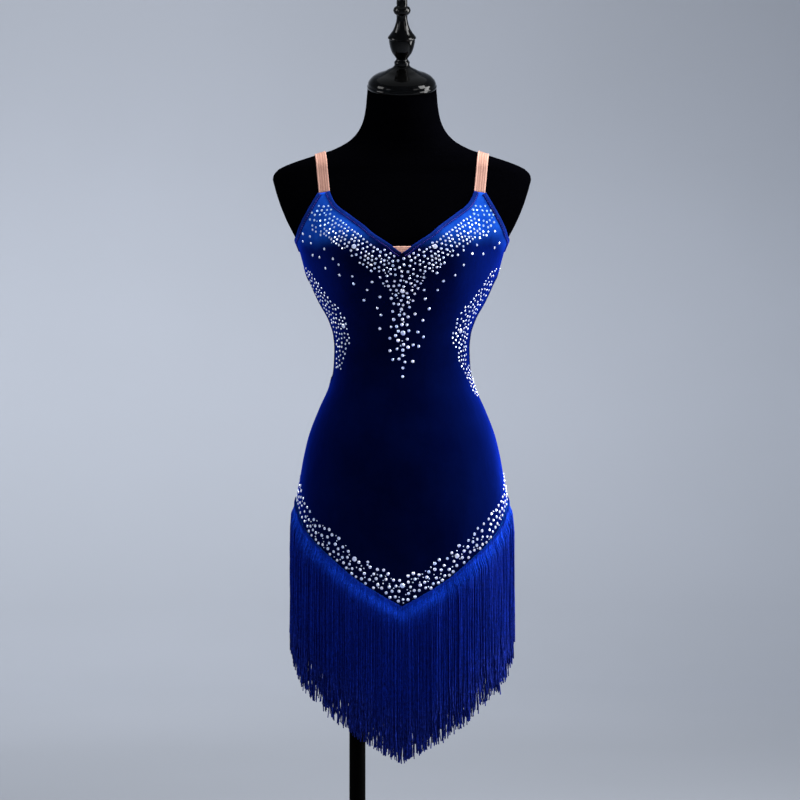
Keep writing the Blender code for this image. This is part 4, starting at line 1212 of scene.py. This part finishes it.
def make_stones(finish):
    taken, big = {}, []
    for x, y in SPARKLES + SPARKLES_HEM:
        angle, height = as_seen(x, y)
        big.append((float(angle), float(height), BIG_STONE))
        take(taken, on_cloth(angle, height, VELVET).tolist())
    yoke = scatter(as_seen(*np.array(LOOSE).T), taken, spacing=4.6)
    # rows beside the neck's edge, on both sides, and then a dense field
    rows = []
    for row in range(ROWS):
        share = (np.arange(ROW_STONES) + 0.5 * (row % 2)) / ROW_STONES + rng.normal(0, 0.003, ROW_STONES)
        distance = -FIRST_ROW - ROWS_APART * row + rng.normal(0, 0.45, ROW_STONES)
        rows.append(beside(neck_line, share, distance))
    places = np.concatenate(rows, axis=1)
    x, y = seen_at(*places)
    within = inside(YOKE, x - MIDDLE, y) & (x - MIDDLE > YOKE_MIDDLE)
    for side in (1, -1):
        yoke += scatter(places[:, within] * [[side], [1]], taken, spacing=5.3, size=STONE * 0.86)
    x, y = rng.uniform(*YOKE_ACROSS, TRIES), rng.uniform(*YOKE_DOWN, TRIES)
    within = inside(YOKE, x, y)
    x, y = x[within] * mirrored(within.sum()) + MIDDLE, y[within]
    low = np.clip((y - THINNER_FROM) / THINNER_WITHIN, 0, 1)
    spacing = SPACING * (1.0 + 0.25 * low)
    yoke += scatter(as_seen(x, y), taken, spacing, size=STONE * (0.86 + 0.3 * low))

    places = np.stack([rng.uniform(48, 90, TRIES) * mirrored(TRIES), rng.uniform(970, 1200, TRIES)])
    seen_x, seen_y = seen_at(*places)
    within = inside(WAIST, np.where(seen_x < MIDDLE, seen_x, WAISTS_APART - seen_x), seen_y)
    within |= inside(WAIST_DOWN_RIGHT, seen_x, seen_y)
    waist = scatter(places[:, within], taken, spacing=5.6, size=1.75)
    # behind, they edge the opening
    share = rng.uniform(0, 1, TRIES_BEHIND)
    share = share[(share < behind_share) | (share > 1 - behind_share)]
    angle, height = beside(opening_line, share, rng.uniform(3.6, 12.0, len(share)))
    waist += scatter((angle * mirrored(len(share)), height), taken, spacing=5.7, size=1.85)

    angle = rng.uniform(-180, 180, TRIES_HEM)
    reach = STONE_BAND_HEM + 3.0 * np.sin(angle * 0.23)
    rise = HEM_CLEAR + reach * rng.uniform(0, 1, TRIES_HEM)
    places = np.stack([angle, hem_all_round(angle) + rise])
    hem = scatter(places, taken, spacing=7.0 + rise * 0.04, size=HEM_STONE)
    # and a few small ones between
    hem += scatter(places[:, :FEW_HEM], taken, spacing=4.3, size=1.05)
    yoke += scatter(as_seen(x[:FEW_YOKE], y[:FEW_YOKE]), taken, spacing=4.2, size=1.1)
    fields = {"big": big, "yoke": yoke, "waist": waist, "hem": hem}
    return [stone_mesh(f"rhinestones_{name}", places, finish) for name, places in fields.items()]


# ---- sewing

STITCH_WIDTH, STITCH_RISE = 0.38, 0.28
STITCH_HALF = 0.31  # half its length, as a share of the way from one to the next
STITCH_SINK = 0.35  # how far its ends go into the cloth


def make_stitches(name, lines, finish):
    """Short stitches on both sides, along lines of (edge, distance beside it, out, stitches)."""
    points = []
    for edge, distance, out, count in lines:
        share = (np.arange(count) + 0.5) / count
        ends = []
        for reach in (-1, -0.6, 0.6, 1):
            angle, height = beside(edge, share + reach * STITCH_HALF / count, np.full(count, distance))
            ends.append(on_cloth(angle, height, out))
        normal = cloth_normal(angle, height)[0]
        ends[0] -= normal * STITCH_SINK
        ends[3] -= normal * STITCH_SINK
        aside = np.cross(normal, unit(ends[3] - ends[0]))
        rings = []
        for ring in (ends[1], ends[2]):
            for turn in (math.pi / 2, math.pi * 7 / 6, math.pi * 11 / 6):
                spoke = aside * math.cos(turn) * STITCH_WIDTH + normal * math.sin(turn) * STITCH_RISE
                rings.append(ring + spoke)
        stitch = np.stack([ends[0], *rings, ends[3]], 1)
        points.append(np.stack([stitch, stitch * (-1, 1, 1)], 1).reshape(-1, 3))
    pattern = []
    for k, after in ((0, 1), (1, 2), (2, 0)):
        pattern.append((0, 1 + k, 1 + after))
        pattern.append((1 + k, 4 + k, 4 + after, 1 + after))
        pattern.append((7, 4 + after, 4 + k))
    pattern += [tuple(8 + point for point in face[::-1]) for face in pattern]
    points = np.concatenate(points)
    piece = add_mesh(name, points, repeated(pattern, 16, len(points) // 16), finish)
    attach(piece, "root")
    return piece


# ---- room


def make_room(finish):
    """A floor that curves up into a wall all round, far enough off for the camera to stand inside it."""
    floor, curve = 4400, 2200
    outline = [(0, 0.01), (0, 2000), (0, floor)]
    for k in range(1, 17):
        turn = k / 16 * math.pi / 2
        outline.append((curve * (1 - math.cos(turn)), floor + curve * math.sin(turn)))
    outline += [(4000, floor + curve), (9000, floor + curve)]
    faces = quads(len(outline), 96, closed_columns=True, turned=True)
    add_mesh("room", rings_of(outline, 96), faces, finish)


def make_lights():
    world = bpy.data.worlds.new("world")
    world.use_nodes = True
    background = world.node_tree.nodes["Background"]
    background.inputs["Color"].default_value = (0.86, 0.92, 1.0, 1.0)
    background.inputs["Strength"].default_value = 0.42
    bpy.context.scene.world = world
    soft_light("key", (2.3, -2.3, 1.9), (0, 0, 1.05), (0.9, 1.7), 12, (1.0, 0.98, 0.96))
    soft_light("fill", (-2.3, -2.3, 1.9), (0, 0, 1.05), (0.8, 1.6), 8, (0.94, 0.97, 1.0))
    soft_light("side_right", (2.4, 0.1, 1.5), (0, 0, 1.0), (0.8, 2.2), 85)
    soft_light("side_left", (-1.5, -0.45, 2.05), (0, 0, 1.2), (0.6, 0.8), 11)
    soft_light("high_right", (1.4, -0.5, 2.2), (0, 0, 1.2), (0.6, 0.8), 23)
    above = soft_light("above", (0.4, 0.05, 2.8), (0.0, 0.0, 1.2), (1.2, 0.6), 60)
    above.visible_glossy = False  # it lights the cloth, and leaves no glare on the neck's cap
    soft_light("wall", (-0.75, 3.0, 3.5), (-1.4, 6.6, 1.0), (2.0, 2.0), 98)
    scene = bpy.context.scene
    scene.view_settings.view_transform = "Standard"
    scene.view_settings.look = "None"


# ---- everything

make_camera()
make_lights()
finishes = {
    "velvet": velvet_finish("velvet_pile", 1.0),
    "pressed": [velvet_finish(f"velvet_pressed_{k}", sheen) for k, sheen in enumerate(PRESSED_SHEEN)],
    "binding": binding_finish(),
    "elastic": elastic_finish("elastic_nude"),
    # the neck elastic is the same nude elastic, painted half as light again in place of the light it lacks
    "neck_elastic": elastic_finish("elastic_nude_painted_lit", 1.5),
    "yarn": yarn_finish(),
    "header": header_finish(),
    "jersey": jersey_finish(),
    "gloss": gloss_finish(),
    "stand": stand_finish(),
    "stone": stone_finish(),
    "thread": thread_finish(),
    "backdrop": backdrop_finish(),
}
make_room(finishes["backdrop"])
make_form(finishes)
make_stand(finishes)
velvet = finishes["velvet"]
front = make_front(velvet)
back_skirt = make_back("velvet_back_skirt", "back_skirt", velvet_hem_at, back_skirt_top_at, 70, velvet)
back_band = make_back("velvet_back_band", "back_band", back_band_bottom_at, back_band_top_at, 22, velvet)
for piece in (front, back_skirt, back_band):
    press_edge(piece)
neck_bindings = make_binding("neck_bound", "neck_binding", neck_line, 150, finishes["binding"])
armhole_bindings = make_binding("armhole_bound", "armhole_binding", armhole_line, 230, finishes["binding"])
straps = make_strap(finishes["elastic"])
neck_elastic = make_neck_elastic(finishes["neck_elastic"])
SEAM_ANGLE = 0.06
round_front = (-(90.0 - SEAM_ANGLE), 90.0 - SEAM_ANGLE)
round_back = (90.0 + SEAM_ANGLE, 270.0 - SEAM_ANGLE)
header_front = make_header("header_front", "fringe_front", *round_front, finishes["header"])
header_back = make_header("header_back", "fringe_back", *round_back, finishes["header"])
strands_front = make_strands("strands_front", "fringe_front", *round_front, finishes["yarn"])
strands_back = make_strands("strands_back", "fringe_back", *round_back, finishes["yarn"])
stones = make_stones(finishes["stone"])
sewn = [(neck_line, -5.6, VELVET + 1.45, 62), (armhole_line, -5.6, VELVET + 1.45, 92)]
stitches = make_stitches("stitching", sewn, finishes["thread"])
